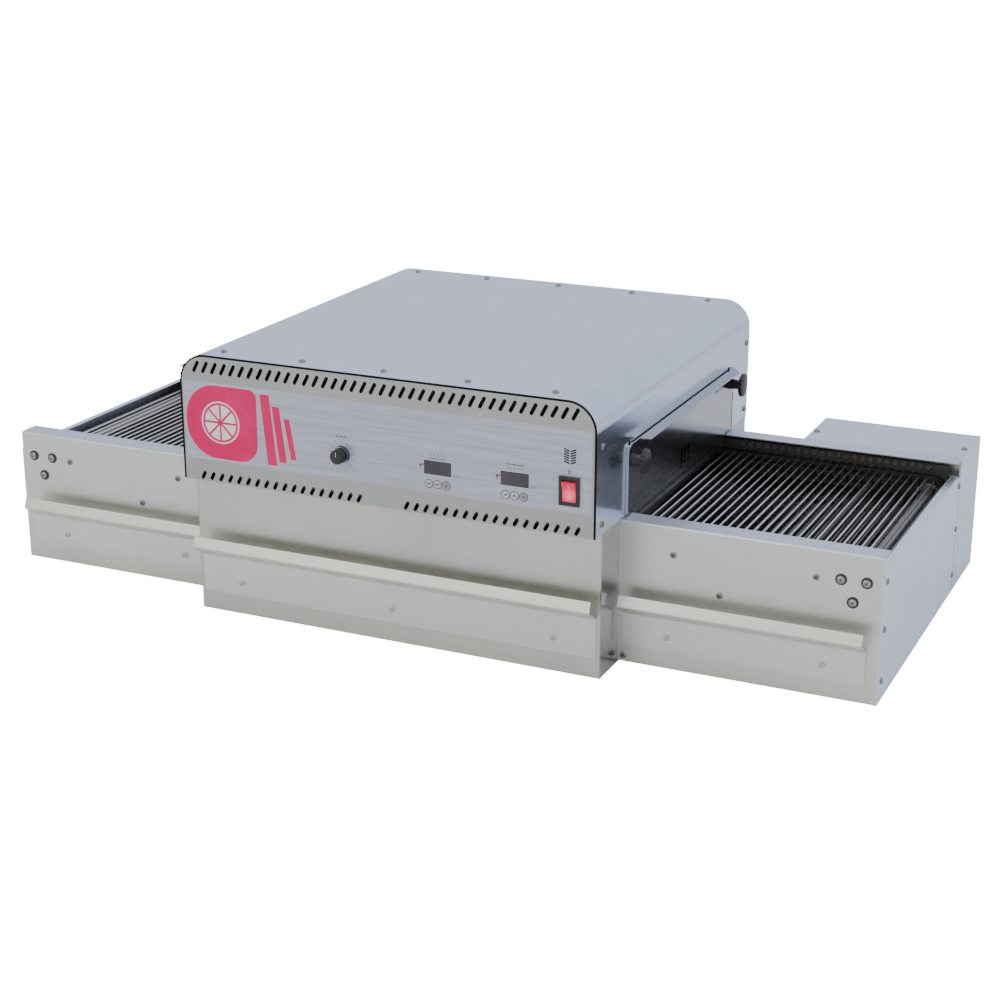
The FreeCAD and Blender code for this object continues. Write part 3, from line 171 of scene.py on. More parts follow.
def blendColours(tree, first, second):
    node = put(tree, "ShaderNodeMix", data_type="RGBA")
    node.inputs[6].default_value = (*first, 1)
    node.inputs[7].default_value = (*second, 1)
    return node


def startMaterial(name):
    material = bpy.data.materials.new(name)
    material.use_nodes = True
    tree = material.node_tree
    shader = tree.nodes["Principled BSDF"]
    place = put(tree, "ShaderNodeTexCoord")
    return material, tree, shader, place


def layDust(tree, below, dustAndSky, colour, shader):
    # settled dust over the colour of the surface; on the trays the laid colour is a painted sky reflection
    # on upward faces
    dusty = put(tree, "ShaderNodeMix", data_type="RGBA")
    dusty.inputs[7].default_value = (*colour, 1)
    wire(tree, dustAndSky, "Mask", dusty, 0)
    tree.links.new(below.outputs[2], dusty.inputs[6])
    tree.links.new(dusty.outputs[2], shader.inputs["Base Color"])


def glossFrom(tree, source, output, rough, reach):
    low, high = rough
    gloss = put(tree, "ShaderNodeMapRange",
                {"From Min": 0.3, "From Max": reach, "To Min": low, "To Max": high})
    wire(tree, source, output, gloss, "Value")
    return gloss


def reliefFrom(tree, source, output, strength, depth, shader):
    relief = put(tree, "ShaderNodeBump", {"Strength": strength, "Distance": depth})
    wire(tree, source, output, relief, "Height")
    wire(tree, relief, "Normal", shader, "Normal")


def sheetMetal(name, look):
    # stainless or plated metal: streaked colour, uneven gloss, fine grain in relief, dust on top, which on
    # the trays is a painted bluish sky reflection
    material, tree, shader, place = startMaterial(name)
    shader.inputs["Metallic"].default_value = look.get("metallic", 1.0)
    shader.inputs["Specular IOR Level"].default_value = 0.5
    grain = useGroup(tree, brushedGrain, {"Stretch": look["stretch"]})
    marks = useGroup(tree, handlingMarks, {"Size": look.get("cloud", 5.0)})
    dustAndSky = useGroup(tree, settledDust, {"Amount": look.get("dustAndSky", 0.15)})
    for node in (grain, marks, dustAndSky):
        wire(tree, place, "Object", node, "Vector")
    streaks = blendColours(tree, look["dark"], look["light"])
    wire(tree, grain, "Streak", streaks, 0)
    wiped = put(tree, "ShaderNodeMix", data_type="RGBA", blend_type="MULTIPLY")
    wiped.inputs[7].default_value = (0.93, 0.935, 0.95, 1)
    wire(tree, marks, "Mask", wiped, 0)
    tree.links.new(streaks.outputs[2], wiped.inputs[6])
    layDust(tree, wiped, dustAndSky, look.get("settled", (0.56, 0.55, 0.53)), shader)
    gloss = glossFrom(tree, grain, "Streak", look["rough"], 0.75)
    worn = put(tree, "ShaderNodeMath", operation="MULTIPLY_ADD")
    worn.inputs[1].default_value = look.get("smudge", 0.05)
    wire(tree, marks, "Mask", worn, 0)
    wire(tree, gloss, "Result", worn, 2)
    wire(tree, worn, "Value", shader, "Roughness")
    reliefFrom(tree, grain, "Height", look.get("relief", 0.05), 0.0002, shader)
    return material


def mouldedPlastic(name, look):
    # plastic, rubber, paint, print or wool: fine skin or fibres and slight colour drift
    material, tree, shader, place = startMaterial(name)
    shader.inputs["Metallic"].default_value = look.get("metallic", 0.0)
    shader.inputs["Coat Weight"].default_value = look.get("coat", 0.0)
    shader.inputs["Coat Roughness"].default_value = 0.12
    shader.inputs["Specular IOR Level"].default_value = look.get("specular", 0.5)
    shader.inputs["Sheen Weight"].default_value = look.get("sheen", 0.0)
    skin = put(tree, "ShaderNodeTexNoise",
               {"Scale": look.get("skin", 900.0), "Detail": 3.0, "Roughness": 0.6})
    marks = useGroup(tree, handlingMarks, {"Size": look.get("cloud", 40.0)})
    dustAndSky = useGroup(tree, settledDust, {"Amount": look.get("dustAndSky", 0.25)})
    for node in (skin, marks, dustAndSky):
        wire(tree, place, "Object", node, "Vector")
    drift = blendColours(tree, look["dark"], look["light"])
    wire(tree, marks, "Mask", drift, 0)
    layDust(tree, drift, dustAndSky, (0.5, 0.49, 0.47), shader)
    gloss = glossFrom(tree, skin, "Fac", look["rough"], 0.7)
    wire(tree, gloss, "Result", shader, "Roughness")
    reliefFrom(tree, skin, "Fac", look.get("relief", 0.2), look.get("depth", 0.0001), shader)
    return material


levelGrain = (3.0, 260.0, 260.0)  # streaks along X
sideGrain = (260.0, 3.0, 260.0)  # streaks along Y
rodGrain = (300.0, 8.0, 300.0)
spunGrain = (800.0, 800.0, 800.0)
finishes = {  # colours are linear; rough is (lowest, highest)
    "frontSteel": {"dark": (0.62, 0.625, 0.575), "light": (0.70, 0.705, 0.66), "rough": (0.30, 0.40),
                   "stretch": levelGrain, "relief": 0.04},
    "drawerSteel": {"dark": (0.76, 0.765, 0.70), "light": (0.84, 0.845, 0.79), "rough": (0.32, 0.42),
                    "stretch": levelGrain, "relief": 0.04},
    # trays: the strong bluish dust is a painted sky reflection on their upward faces
    "traySteel": {"dark": (0.70, 0.705, 0.65), "light": (0.78, 0.785, 0.74), "rough": (0.32, 0.42),
                  "stretch": levelGrain, "relief": 0.04, "dustAndSky": 1.7, "settled": (0.58, 0.62, 0.74)},
    # control panel: a darker copy of the front steel, painted shade
    "panelSteel": {"dark": (0.42, 0.425, 0.405), "light": (0.50, 0.505, 0.485), "rough": (0.26, 0.36),
                   "stretch": (4.0, 300.0, 300.0), "relief": 0.04},
    # hood: the steel tinted blue, a painted sky reflection on its top
    "hoodSteel": {"dark": (0.64, 0.70, 0.87), "light": (0.70, 0.76, 0.93), "rough": (0.15, 0.22),
                  "stretch": levelGrain, "relief": 0.015, "dustAndSky": 0.04, "smudge": 0.03},
    # cover: the steel tinted blue, a painted sky reflection on its top
    "coverSteel": {"dark": (0.66, 0.71, 0.86), "light": (0.74, 0.79, 0.94), "rough": (0.22, 0.30),
                   "stretch": levelGrain, "relief": 0.02, "dustAndSky": 0.06},
    # sides and gates: a darker copy of the steel, a painted dark reflection
    "sideSteel": {"dark": (0.42, 0.43, 0.455), "light": (0.48, 0.49, 0.515), "rough": (0.13, 0.20),
                  "stretch": sideGrain, "relief": 0.008, "smudge": 0.03},
    # end panels: a lighter, bluer copy of the steel, painted light from the right with a painted sky
    # reflection
    "endSteel": {"dark": (0.76, 0.81, 0.95), "light": (0.82, 0.87, 0.99), "rough": (0.28, 0.38),
                 "stretch": sideGrain, "relief": 0.03},
    "linerSteel": {"dark": (0.36, 0.35, 0.34), "light": (0.48, 0.47, 0.46), "rough": (0.34, 0.50),
                   "stretch": (4.0, 180.0, 180.0), "smudge": 0.12},
    "panSteel": {"dark": (0.07, 0.068, 0.066), "light": (0.14, 0.135, 0.13), "rough": (0.42, 0.6),
                 "stretch": (4.0, 120.0, 120.0), "smudge": 0.15, "cloud": 9.0},
    "rodSteel": {"dark": (0.58, 0.58, 0.58), "light": (0.76, 0.76, 0.76), "rough": (0.22, 0.34),
                 "stretch": rodGrain, "relief": 0.03, "dustAndSky": 0.05},
    # return run of the belt: the same rods made darker, painted shade under the upper run
    "shadedReturnRodSteel": {"dark": (0.20, 0.20, 0.20), "light": (0.32, 0.32, 0.32), "rough": (0.35, 0.5),
                       "stretch": rodGrain, "relief": 0.03, "dustAndSky": 0.05},
    "screwSteel": {"dark": (0.17, 0.17, 0.18), "light": (0.34, 0.34, 0.35), "rough": (0.24, 0.38),
                   "stretch": (900.0, 900.0, 900.0), "relief": 0.08, "dustAndSky": 0.03},
    "boltSteel": {"dark": (0.26, 0.26, 0.26), "light": (0.50, 0.50, 0.50), "rough": (0.2, 0.34),
                  "stretch": spunGrain, "relief": 0.08, "dustAndSky": 0.05},
    # near-black washers: a painted shadow of the hole round each bearing bolt head
    "shadowDarkWasherSteel": {"dark": (0.05, 0.05, 0.05), "light": (0.10, 0.10, 0.10), "rough": (0.3, 0.45),
                    "stretch": spunGrain, "relief": 0.08, "dustAndSky": 0.03},
    "chainSteel": {"dark": (0.035, 0.033, 0.031), "light": (0.10, 0.095, 0.09), "rough": (0.3, 0.5),
                   "stretch": (500.0, 500.0, 500.0), "relief": 0.15, "smudge": 0.15, "cloud": 30.0},
    "pinSteel": {"dark": (0.10, 0.095, 0.088), "light": (0.27, 0.26, 0.24), "rough": (0.25, 0.4),
                 "stretch": (500.0, 500.0, 500.0), "relief": 0.1, "cloud": 30.0},
    "wheelSteel": {"dark": (0.26, 0.26, 0.26), "light": (0.42, 0.42, 0.42), "rough": (0.28, 0.42),
                   "stretch": (500.0, 60.0, 500.0), "relief": 0.1},
    "heaterSheath": {"dark": (0.06, 0.05, 0.045), "light": (0.17, 0.13, 0.10), "rough": (0.4, 0.6),
                     "stretch": (90.0, 20.0, 90.0), "smudge": 0.1, "metallic": 0.9},
}
steels = {name: sheetMetal(name, look) for name, look in finishes.items()}

skins = {
    "knobPlastic": {"dark": (0.012, 0.012, 0.013), "light": (0.030, 0.030, 0.032), "rough": (0.32, 0.48),
                    "relief": 0.25, "dustAndSky": 0.08},
    "bezelPlastic": {"dark": (0.014, 0.014, 0.016), "light": (0.03, 0.03, 0.034), "rough": (0.24, 0.36),
                     "relief": 0.15, "dustAndSky": 0.08},
    # the same black serves the gasket and the painted shadow strips
    "rubberAndShadowBlack": {"dark": (0.004, 0.004, 0.004), "light": (0.009, 0.009, 0.009), "rough": (0.7, 0.85),
                     "relief": 0.3, "specular": 0.1, "dustAndSky": 0.0},
    "greyPlastic": {"dark": (0.46, 0.47, 0.49), "light": (0.56, 0.57, 0.59), "rough": (0.38, 0.5),
                    "relief": 0.15},
    "keyPlastic": {"dark": (0.50, 0.51, 0.55), "light": (0.58, 0.59, 0.63), "rough": (0.34, 0.46),
                   "relief": 0.1},
    "mineralWool": {"dark": (0.55, 0.50, 0.40), "light": (0.72, 0.68, 0.58), "rough": (0.85, 0.98),
                    "relief": 0.9, "skin": 260.0, "depth": 0.0012, "sheen": 0.2},
    "motorPaint": {"dark": (0.10, 0.115, 0.13), "light": (0.15, 0.165, 0.18), "rough": (0.35, 0.5),
                   "relief": 0.35, "skin": 500.0, "coat": 0.2},
    "darkInk": {"dark": (0.020, 0.020, 0.028), "light": (0.04, 0.04, 0.05), "rough": (0.3, 0.42),
                "relief": 0.05, "dustAndSky": 0.0, "specular": 0.2},
    "paleInk": {"dark": (0.78, 0.78, 0.80), "light": (0.88, 0.88, 0.90), "rough": (0.3, 0.4),
                "relief": 0.05, "dustAndSky": 0.0},
    "crimsonInk": {"dark": (0.72, 0.012, 0.125), "light": (0.81, 0.022, 0.16), "rough": (0.34, 0.44),
                   "relief": 0.04, "dustAndSky": 0.0, "cloud": 12.0, "specular": 0.2},
    "greyInk": {"dark": (0.30, 0.30, 0.33), "light": (0.38, 0.38, 0.41), "rough": (0.35, 0.45),
                "relief": 0.05, "dustAndSky": 0.0},
    "lilacInk": {"dark": (0.50, 0.37, 0.46), "light": (0.56, 0.42, 0.52), "rough": (0.35, 0.45),
                 "relief": 0.05, "dustAndSky": 0.0},
    "redLens": {"dark": (0.35, 0.01, 0.015), "light": (0.55, 0.02, 0.03), "rough": (0.12, 0.2),
                "relief": 0.05, "coat": 0.5},
    "smokedWindow": {"dark": (0.030, 0.024, 0.032), "light": (0.052, 0.044, 0.055), "rough": (0.14, 0.24),
                     "relief": 0.03, "coat": 0.4, "cloud": 25.0, "dustAndSky": 0.0},
}
plastics = {name: mouldedPlastic(name, look) for name, look in skins.items()}


def printedOverlay():
    # silver label printed with level brush lines, a shade more lilac than the steel round it
    material, tree, shader, place = startMaterial("printedOverlay")
    shader.inputs["Metallic"].default_value = 0.55
    shader.inputs["Coat Weight"].default_value = 0.25
    shader.inputs["Coat Roughness"].default_value = 0.25
    lines = useGroup(tree, brushedGrain, {"Stretch": (26.0, 40.0, 900.0)})
    bands = useGroup(tree, brushedGrain, {"Stretch": (6.0, 5.0, 210.0)})
    for node in (lines, bands):
        wire(tree, place, "Object", node, "Vector")
    tint = blendColours(tree, (0.21, 0.23, 0.30), (0.71, 0.735, 0.83))
    mixed = put(tree, "ShaderNodeMath", operation="MULTIPLY_ADD")
    mixed.inputs[1].default_value = 0.55
    half = times(tree, bands, "Streak", 0.5)
    wire(tree, lines, "Streak", mixed, 0)
    wire(tree, half, "Value", mixed, 2)
    wire(tree, mixed, "Value", tint, 0)
    tree.links.new(tint.outputs[2], shader.inputs["Base Color"])
    gloss = glossFrom(tree, lines, "Streak", (0.34, 0.46), 0.7)
    wire(tree, gloss, "Result", shader, "Roughness")
    reliefFrom(tree, lines, "Height", 0.06, 0.0001, shader)
    return material


def litRocker():
    # translucent red cap with a painted highlight: emission and a lighter red round one point on its lower
    # half
    material, tree, shader, place = startMaterial("litRocker")
    shader.inputs["Roughness"].default_value = 0.22
    shader.inputs["Coat Weight"].default_value = 0.6
    shader.inputs["Coat Roughness"].default_value = 0.08
    shader.inputs["Emission Strength"].default_value = 0.9
    low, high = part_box("power_rocker")
    centre = (low + high) / 2
    shift = put(tree, "ShaderNodeVectorMath", operation="SUBTRACT")
    shift.inputs[1].default_value = (centre.x, centre.y, centre.z - 0.004)
    reach = put(tree, "ShaderNodeVectorMath", operation="LENGTH")
    glow = put(tree, "ShaderNodeMapRange",
               {"From Min": 0.002, "From Max": 0.0135, "To Min": 1.0, "To Max": 0.0},
               interpolation_type="SMOOTHSTEP")
    speck = put(tree, "ShaderNodeTexNoise", {"Scale": 240.0, "Detail": 2.0})
    ripple = put(tree, "ShaderNodeMath", operation="MULTIPLY_ADD")
    ripple.inputs[1].default_value = 0.25
    wire(tree, place, "Object", shift, 0)
    wire(tree, shift, "Vector", reach, 0)
    wire(tree, reach, "Value", glow, "Value")
    wire(tree, place, "Object", speck, "Vector")
    wire(tree, speck, "Fac", ripple, 0)
    wire(tree, glow, "Result", ripple, 2)
    body = blendColours(tree, (0.42, 0.008, 0.02), (0.78, 0.03, 0.06))
    light = blendColours(tree, (0.42, 0.006, 0.03), (1.0, 0.12, 0.17))
    for node, socket in ((body, "Base Color"), (light, "Emission Color")):
        wire(tree, ripple, "Value", node, 0)
        tree.links.new(node.outputs[2], shader.inputs[socket])
    return material


overlayMaterial = printedOverlay()
rockerMaterial = litRocker()

cadFinishes = {}
for finish, names in (
        ("hoodSteel", ("hood",)),
        ("frontSteel", ("rear_panel", "lower_front_panel")),
        ("panelSteel", ("control_panel",)),
        ("sideSteel", ("side_plate_right", "side_plate_left", "gate_right", "gate_left")),
        ("linerSteel", ("base_pan", "chamber_floor", "chamber_roof", "insulation_jacket", "drawer_runners")),
        ("traySteel", ("tray_right", "tray_left")),
        ("endSteel", ("end_panel_right", "end_panel_left")),
        ("coverSteel", ("drive_box", "drive_box_cover")),
        ("panSteel", ("conveyor_rails", "crumb_drawer_right", "crumb_drawer_left", "crumb_drawer_centre")),
        ("drawerSteel", ("drawer_front_right", "drawer_front_left", "drawer_front_centre")),
        ("wheelSteel", ("drive_shaft", "idler_shaft", "motor_sprocket")),
        ("screwSteel", ("temperature_probes",)),
        ("heaterSheath", ("upper_heaters", "lower_heaters")),
        ("motorPaint", ("shaft_bearings", "gearmotor")),
        ("rubberAndShadowBlack", ("hood_gasket",)),
        ("bezelPlastic", ("mains_gland", "switch_bezel")),
        ("greyPlastic", ("control_gear", "panel_electronics")),
        ("mineralWool", ("insulation",)),
        ("smokedWindow", ("display_windows",)),
        ("keyPlastic", ("key_upper_down", "key_upper_up", "key_lower_down", "key_lower_up")),
        ("greyInk", ("key_upper_set", "key_lower_set"))):
    cadFinishes.update(dict.fromkeys(names, finish))
special = {"panel_overlay": overlayMaterial, "power_rocker": rockerMaterial}
for name, node in nodes.items():
    finish = cadFinishes.get(name)
    chosen = special.get(name) or steels.get(finish) or plastics.get(finish) or steels["screwSteel"]
    node.data.materials.clear()
    node.data.materials.append(chosen)
print("finishes on")


def geometryTree(name, sizes):
    # a tree that has one named input for each size
    kinds = {int: "NodeSocketInt", float: "NodeSocketFloat"}
    sockets = [("Geometry", "NodeSocketGeometry", None)]
    sockets += [(label, kinds[type(value)], value) for label, value in sizes.items()]
    sockets.append(("Material", "NodeSocketMaterial", None))
    return newGroup(name, "GeometryNodeTree", sockets, [("Geometry", "NodeSocketGeometry")])


def closeTree(tree, start, end, instances, output="Instances"):
    real = put(tree, "GeometryNodeRealizeInstances")
    paint = put(tree, "GeometryNodeSetMaterial")
    wire(tree, instances, output, real, "Geometry")
    wire(tree, real, "Geometry", paint, "Geometry")
    wire(tree, start, "Material", paint, "Material")
    wire(tree, paint, "Geometry", end, "Geometry")


def pointCloud(name, places, facings=None, turns=None):
    # one loose vertex for each copy, with the way it faces and its turn about that axis
    mesh = bpy.data.meshes.new(name)
    mesh.from_pydata([tuple(p) for p in places], [], [])
    if facings:
        layer = mesh.attributes.new("facing", "FLOAT_VECTOR", "POINT")
        layer.data.foreach_set("vector", [c for f in facings for c in f])
    if turns:
        layer = mesh.attributes.new("turn", "FLOAT", "POINT")
        layer.data.foreach_set("value", list(turns))
    return newObject(name, mesh)


def bake(seed, tree, values, material):
    # runs the tree once and keeps its result as a plain mesh
    modifier = seed.modifiers.new("pattern", "NODES")
    modifier.node_group = tree
    sockets = {item.name: item.identifier for item in tree.interface.items_tree if item.in_out == "INPUT"}
    for key, value in values.items():
        modifier[sockets[key]] = value
    modifier[sockets["Material"]] = material
    bpy.context.view_layer.update()
    graph = bpy.context.evaluated_depsgraph_get()
    mesh = bpy.data.meshes.new_from_object(seed.evaluated_get(graph), depsgraph=graph)
    seed.modifiers.clear()
    seed.data = mesh
    mesh.name = seed.name
    if not mesh.materials:
        mesh.materials.append(material)
    return seed


def finishPiece(piece, body, replaced=(), smooth=0.6):
    if smooth:
        piece.data.shade_smooth()
        piece.data.set_sharp_from_angle(angle=smooth)
    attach(piece, body)
    if replaced:
        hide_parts(*replaced)
    return piece


def aimRotation(tree, axis="Z"):
    # turns a copy so that its axis follows the point's facing, then spins it by the point's turn
    facing = put(tree, "GeometryNodeInputNamedAttribute", {"Name": "facing"}, data_type="FLOAT_VECTOR")
    turn = put(tree, "GeometryNodeInputNamedAttribute", {"Name": "turn"}, data_type="FLOAT")
    aim = put(tree, "FunctionNodeAlignRotationToVector", axis=axis)
    spin = put(tree, "FunctionNodeAxisAngleToRotation", {"Axis": (0, 0, 1)})
    both = put(tree, "FunctionNodeRotateRotation", rotation_space="LOCAL")
    wire(tree, facing, "Attribute", aim, "Vector")
    wire(tree, turn, "Attribute", spin, "Angle")
    wire(tree, aim, "Rotation", both, "Rotation")
    wire(tree, spin, "Rotation", both, "Rotate By")
    return both


def raised(tree, part, output, source, height):
    # a part moved up Z by a value of the tree
    lift = put(tree, "ShaderNodeCombineXYZ")
    move = put(tree, "GeometryNodeTransform")
    wire(tree, source, height, lift, "Z")
    wire(tree, part, output, move, "Geometry")
    wire(tree, lift, "Vector", move, "Translation")
    return move


def turnedDisc(tree, radius, share, length, low, high, vertices):
    # disc along Z: its radius is a share of one value, its ends lie at shares of another
    disc = put(tree, "GeometryNodeMeshCylinder", {"Vertices": vertices})
    wire(tree, times(tree, *radius, share), "Value", disc, "Radius")
    wire(tree, times(tree, *length, high - low), "Value", disc, "Depth")
    return raised(tree, disc, "Mesh", times(tree, *length, (high + low) / 2), "Value")


def hullOf(tree, discs, vertices=20):
    # closed turned shape round stacked discs
    join = put(tree, "GeometryNodeJoinGeometry")
    for disc in discs:
        wire(tree, turnedDisc(tree, *disc, vertices), "Geometry", join, "Geometry")
    hull = put(tree, "GeometryNodeConvexHull")
    wire(tree, join, "Geometry", hull, "Geometry")
    return hull


def copyOnPoints(tree, start, part, output, rotation=None, selection=None):
    copies = put(tree, "GeometryNodeInstanceOnPoints")
    wire(tree, start, "Geometry", copies, "Points")
    wire(tree, part, output, copies, "Instance")
    if selection:
        wire(tree, *selection, copies, "Selection")
    if rotation:
        wire(tree, rotation, "Rotation", copies, "Rotation")
    return copies


def makeScrewTree(sizes):
    # pan head with a cross recess
    tree, start, end = geometryTree("panHeadScrews", sizes)
    radius, height = (start, "Head Radius"), (start, "Head Height")
    head = hullOf(tree, [(radius, 1.0, height, 0.0, 0.42), (radius, 0.90, height, 0.42, 0.72),
                         (radius, 0.66, height, 0.72, 0.93), (radius, 0.36, height, 0.93, 1.0)])
    cross = put(tree, "GeometryNodeMeshBoolean", operation="DIFFERENCE")
    wire(tree, head, "Convex Hull", cross, "Mesh 1")
    span = times(tree, start, "Head Radius", 1.15)
    deep = times(tree, start, "Recess Depth", 2.0)
    for order in (("X", "Y"), ("Y", "X")):
        size = put(tree, "ShaderNodeCombineXYZ")
        blade = put(tree, "GeometryNodeMeshCube")
        wire(tree, span, "Value", size, order[0])
        wire(tree, start, "Recess Width", size, order[1])
        wire(tree, deep, "Value", size, "Z")
        wire(tree, size, "Vector", blade, "Size")
        wire(tree, raised(tree, blade, "Mesh", start, "Head Height"), "Geometry", cross, "Mesh 2")
    copies = copyOnPoints(tree, start, cross, "Mesh", aimRotation(tree))
    closeTree(tree, start, end, copies)
    return tree


def solidsOf(nodeName):
    # separate solids of a CAD node, from a merged copy of its mesh
    copy = bmesh.new()
    copy.from_mesh(nodes[nodeName].data)
    copy.transform(nodes[nodeName].matrix_world)
    bmesh.ops.remove_doubles(copy, verts=copy.verts, dist=1e-6)
    left = set(copy.verts)
    groups = []
    for seed in copy.verts:  # in the mesh's own order, so that every run gives the same rows
        if seed not in left:
            continue
        left.remove(seed)
        stack, group = [seed], [seed.co.copy()]
        while stack:
            for edge in stack.pop().link_edges:
                for vert in edge.verts:
                    if vert in left:
                        left.remove(vert)
                        stack.append(vert)
                        group.append(vert.co.copy())
        groups.append(group)
    copy.free()
    return groups


def spanOf(points):
    low = Vector([min(p[k] for p in points) for k in range(3)])
    high = Vector([max(p[k] for p in points) for k in range(3)])
    return low, high


screwTurn = 0.77  # radians from the cross of one screw to the next


def headsOf(nodeName, headRadius, limit=0.02):
    # seat, outward direction and turn of every screw among a node's solids
    seats, facings, turns = [], [], []
    for points in solidsOf(nodeName):
        low, high = spanOf(points)
        size = high - low
        if max(size) > limit:
            continue
        axis = min(range(3), key=lambda k: size[k])
        centre = (low + high) / 2
        others = [k for k in range(3) if k != axis]
        wide = [p[axis] for p in points
                if math.hypot(*(p[k] - centre[k] for k in others)) > headRadius * 0.9]
        sign = 1 if (min(wide) + max(wide)) / 2 > centre[axis] else -1
        seat = centre.copy()
        seat[axis] = min(wide) if sign > 0 else max(wide)
        facing = Vector((0, 0, 0))
        facing[axis] = sign
        seats.append(seat)
        facings.append(facing)
        turns.append((len(seats) * screwTurn) % 1.57)
    return seats, facings, turns


screwSizes = {"Head Radius": 0.0046, "Head Height": 0.0022, "Recess Width": 0.0012, "Recess Depth": 0.0012}
screwTree = makeScrewTree(screwSizes)
seats, facings, turns = headsOf("casing_screws", 0.0045)
casing = bake(pointCloud("casingScrews", seats, facings, turns), screwTree, screwSizes, steels["screwSteel"])
finishPiece(casing, "oven", ("casing_screws",))
print("casing screws:", len(seats))

drawerScrews = {"sheet": 0.0015, "height": 0.0022, "spread": 0.012}


def drawerHeads(side):
    # seats of the screws in a drawer front, found from the rims of their heads
    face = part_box("crumb_drawer_" + side)[0].y - drawerScrews["sheet"]
    rows = []
    node = nodes["drawer_front_" + side]
    for vert in node.data.vertices:
        point = node.matrix_world @ vert.co
        if abs(point.y - face + drawerScrews["height"]) > 0.0002:
            continue
        near = [row for row in rows if abs(row[0].x - point.x) < drawerScrews["spread"]]
        if near:
            near[0].append(point)
        else:
            rows.append([point])
    seats = []
    for row in rows:
        low, high = spanOf(row)
        seats.append(Vector(((low.x + high.x) / 2, face, (low.z + high.z) / 2)))
    return seats, [Vector((0, -1, 0))] * len(seats), [index * screwTurn for index in range(len(seats))]


drawerSizes = dict(screwSizes, **{"Head Radius": 0.0047, "Head Height": 0.0024})
for side in ("right", "left", "centre"):
    points = pointCloud("drawerScrews_" + side, *drawerHeads(side))
    count = len(points.data.vertices)
    made = bake(points, screwTree, drawerSizes, steels["screwSteel"])
    finishPiece(made, "crumb_drawer_" + side)
    print(side, "drawer screws:", count)


def makeRodTree(name, sizes, vertices):
    # plain round bars or discs lying along Y
    tree, start, end = geometryTree(name, sizes)
    radius, length = (start, "Rod Radius"), (start, "Rod Length")
    rod = hullOf(tree, [(radius, 1.0, length, -0.4975, 0.4975), (radius, 0.6, length, -0.5, 0.5)], vertices)
    level = put(tree, "GeometryNodeTransform", {"Rotation": (math.pi / 2, 0, 0)})
    wire(tree, rod, "Convex Hull", level, "Geometry")
    closeTree(tree, start, end, copyOnPoints(tree, start, level, "Geometry"))
    return tree


boltSizes = {"Head Radius": 0.0056, "Head Height": 0.0034, "Recess Width": 0.0012, "Recess Depth": 0.0016}
# the dark washer ring under each bearing bolt is a painted shadow of the hole round its head
washerSizes = {"Rod Radius": 0.0080, "Rod Length": 0.0012}
washerTree = makeRodTree("flatWashers", washerSizes, 32)
seats, facings, turns = headsOf("bearing_bolts", 0.0080)
washerMiddles = [seat + facing * washerSizes["Rod Length"] / 2 for seat, facing in zip(seats, facings)]
boltSeats = [seat + facing * washerSizes["Rod Length"] for seat, facing in zip(seats, facings)]
washers = bake(pointCloud("bearingWashers", washerMiddles), washerTree, washerSizes, steels["shadowDarkWasherSteel"])
finishPiece(washers, "oven", ("bearing_bolts",))
points = pointCloud("bearingBolts", boltSeats, facings, turns)
bolts = bake(points, screwTree, boltSizes, steels["boltSteel"])
finishPiece(bolts, "oven", ("bearing_bolts",))
print("bearing bolts:", len(seats))

rodTree = makeRodTree("crossRods", {"Rod Radius": 0.0015, "Rod Length": 0.401}, 12)
# the return rods get the darker copy of the rod steel, painted shade
for name, finish in (("belt_rods_upper", "rodSteel"), ("belt_rods_return", "shadedReturnRodSteel")):
    spans = [spanOf(points) for points in solidsOf(name)]
    size = spans[0][1] - spans[0][0]
    rodSizes = {"Rod Radius": size.z / 2, "Rod Length": size.y}
    middles = [(low + high) / 2 for low, high in spans]
    pieceName = "upperRods" if name.endswith("upper") else "returnRods"
    rods = bake(pointCloud(pieceName, middles), rodTree, rodSizes, steels[finish])
    finishPiece(rods, "oven", (name,), smooth=0.8)
    print(pieceName, len(middles))


beadRow = {"pitch": 0.0127, "radius": 0.0045, "depth": 0.0020, "drops": (0.0050, 0.0165), "gap": 0.010}
rails = [spanOf(points) for points in solidsOf("conveyor_rails")]
rails = [(low, high) for low, high in rails if high.x - low.x > 0.5]
mouths = [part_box("gate_left")[0].x - beadRow["gap"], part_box("gate_right")[1].x + beadRow["gap"]]
places = []
for low, high in rails:
    rear = low.y > 0
    y = (low.y - beadRow["depth"] / 2) if rear else (high.y + beadRow["depth"] / 2)
    count = int((high.x - 0.004 - mouths[1]) / beadRow["pitch"])
    for drop in beadRow["drops"]:
        for index in range(count):
            places.append(Vector((mouths[1] + index * beadRow["pitch"], y, high.z - drop)))
            places.append(Vector((mouths[0] - index * beadRow["pitch"], y, high.z - drop)))
beadSizes = {"Rod Radius": beadRow["radius"], "Rod Length": beadRow["depth"]}
beadTree = makeRodTree("railBeads", beadSizes, 10)
beads = bake(pointCloud("railBeads", places), beadTree, beadSizes, steels["pinSteel"])
finishPiece(beads, "oven")
print("rail beads:", len(places))


chainSizes = {"Pitch": 0.0127, "Plate Half Height": 0.0056, "Plate Thickness": 0.0013, "Inner Gap": 0.0081,
              "Outer Gap": 0.0110, "Pin Radius": 0.0022, "Pin Length": 0.0139, "Roller Radius": 0.0038}


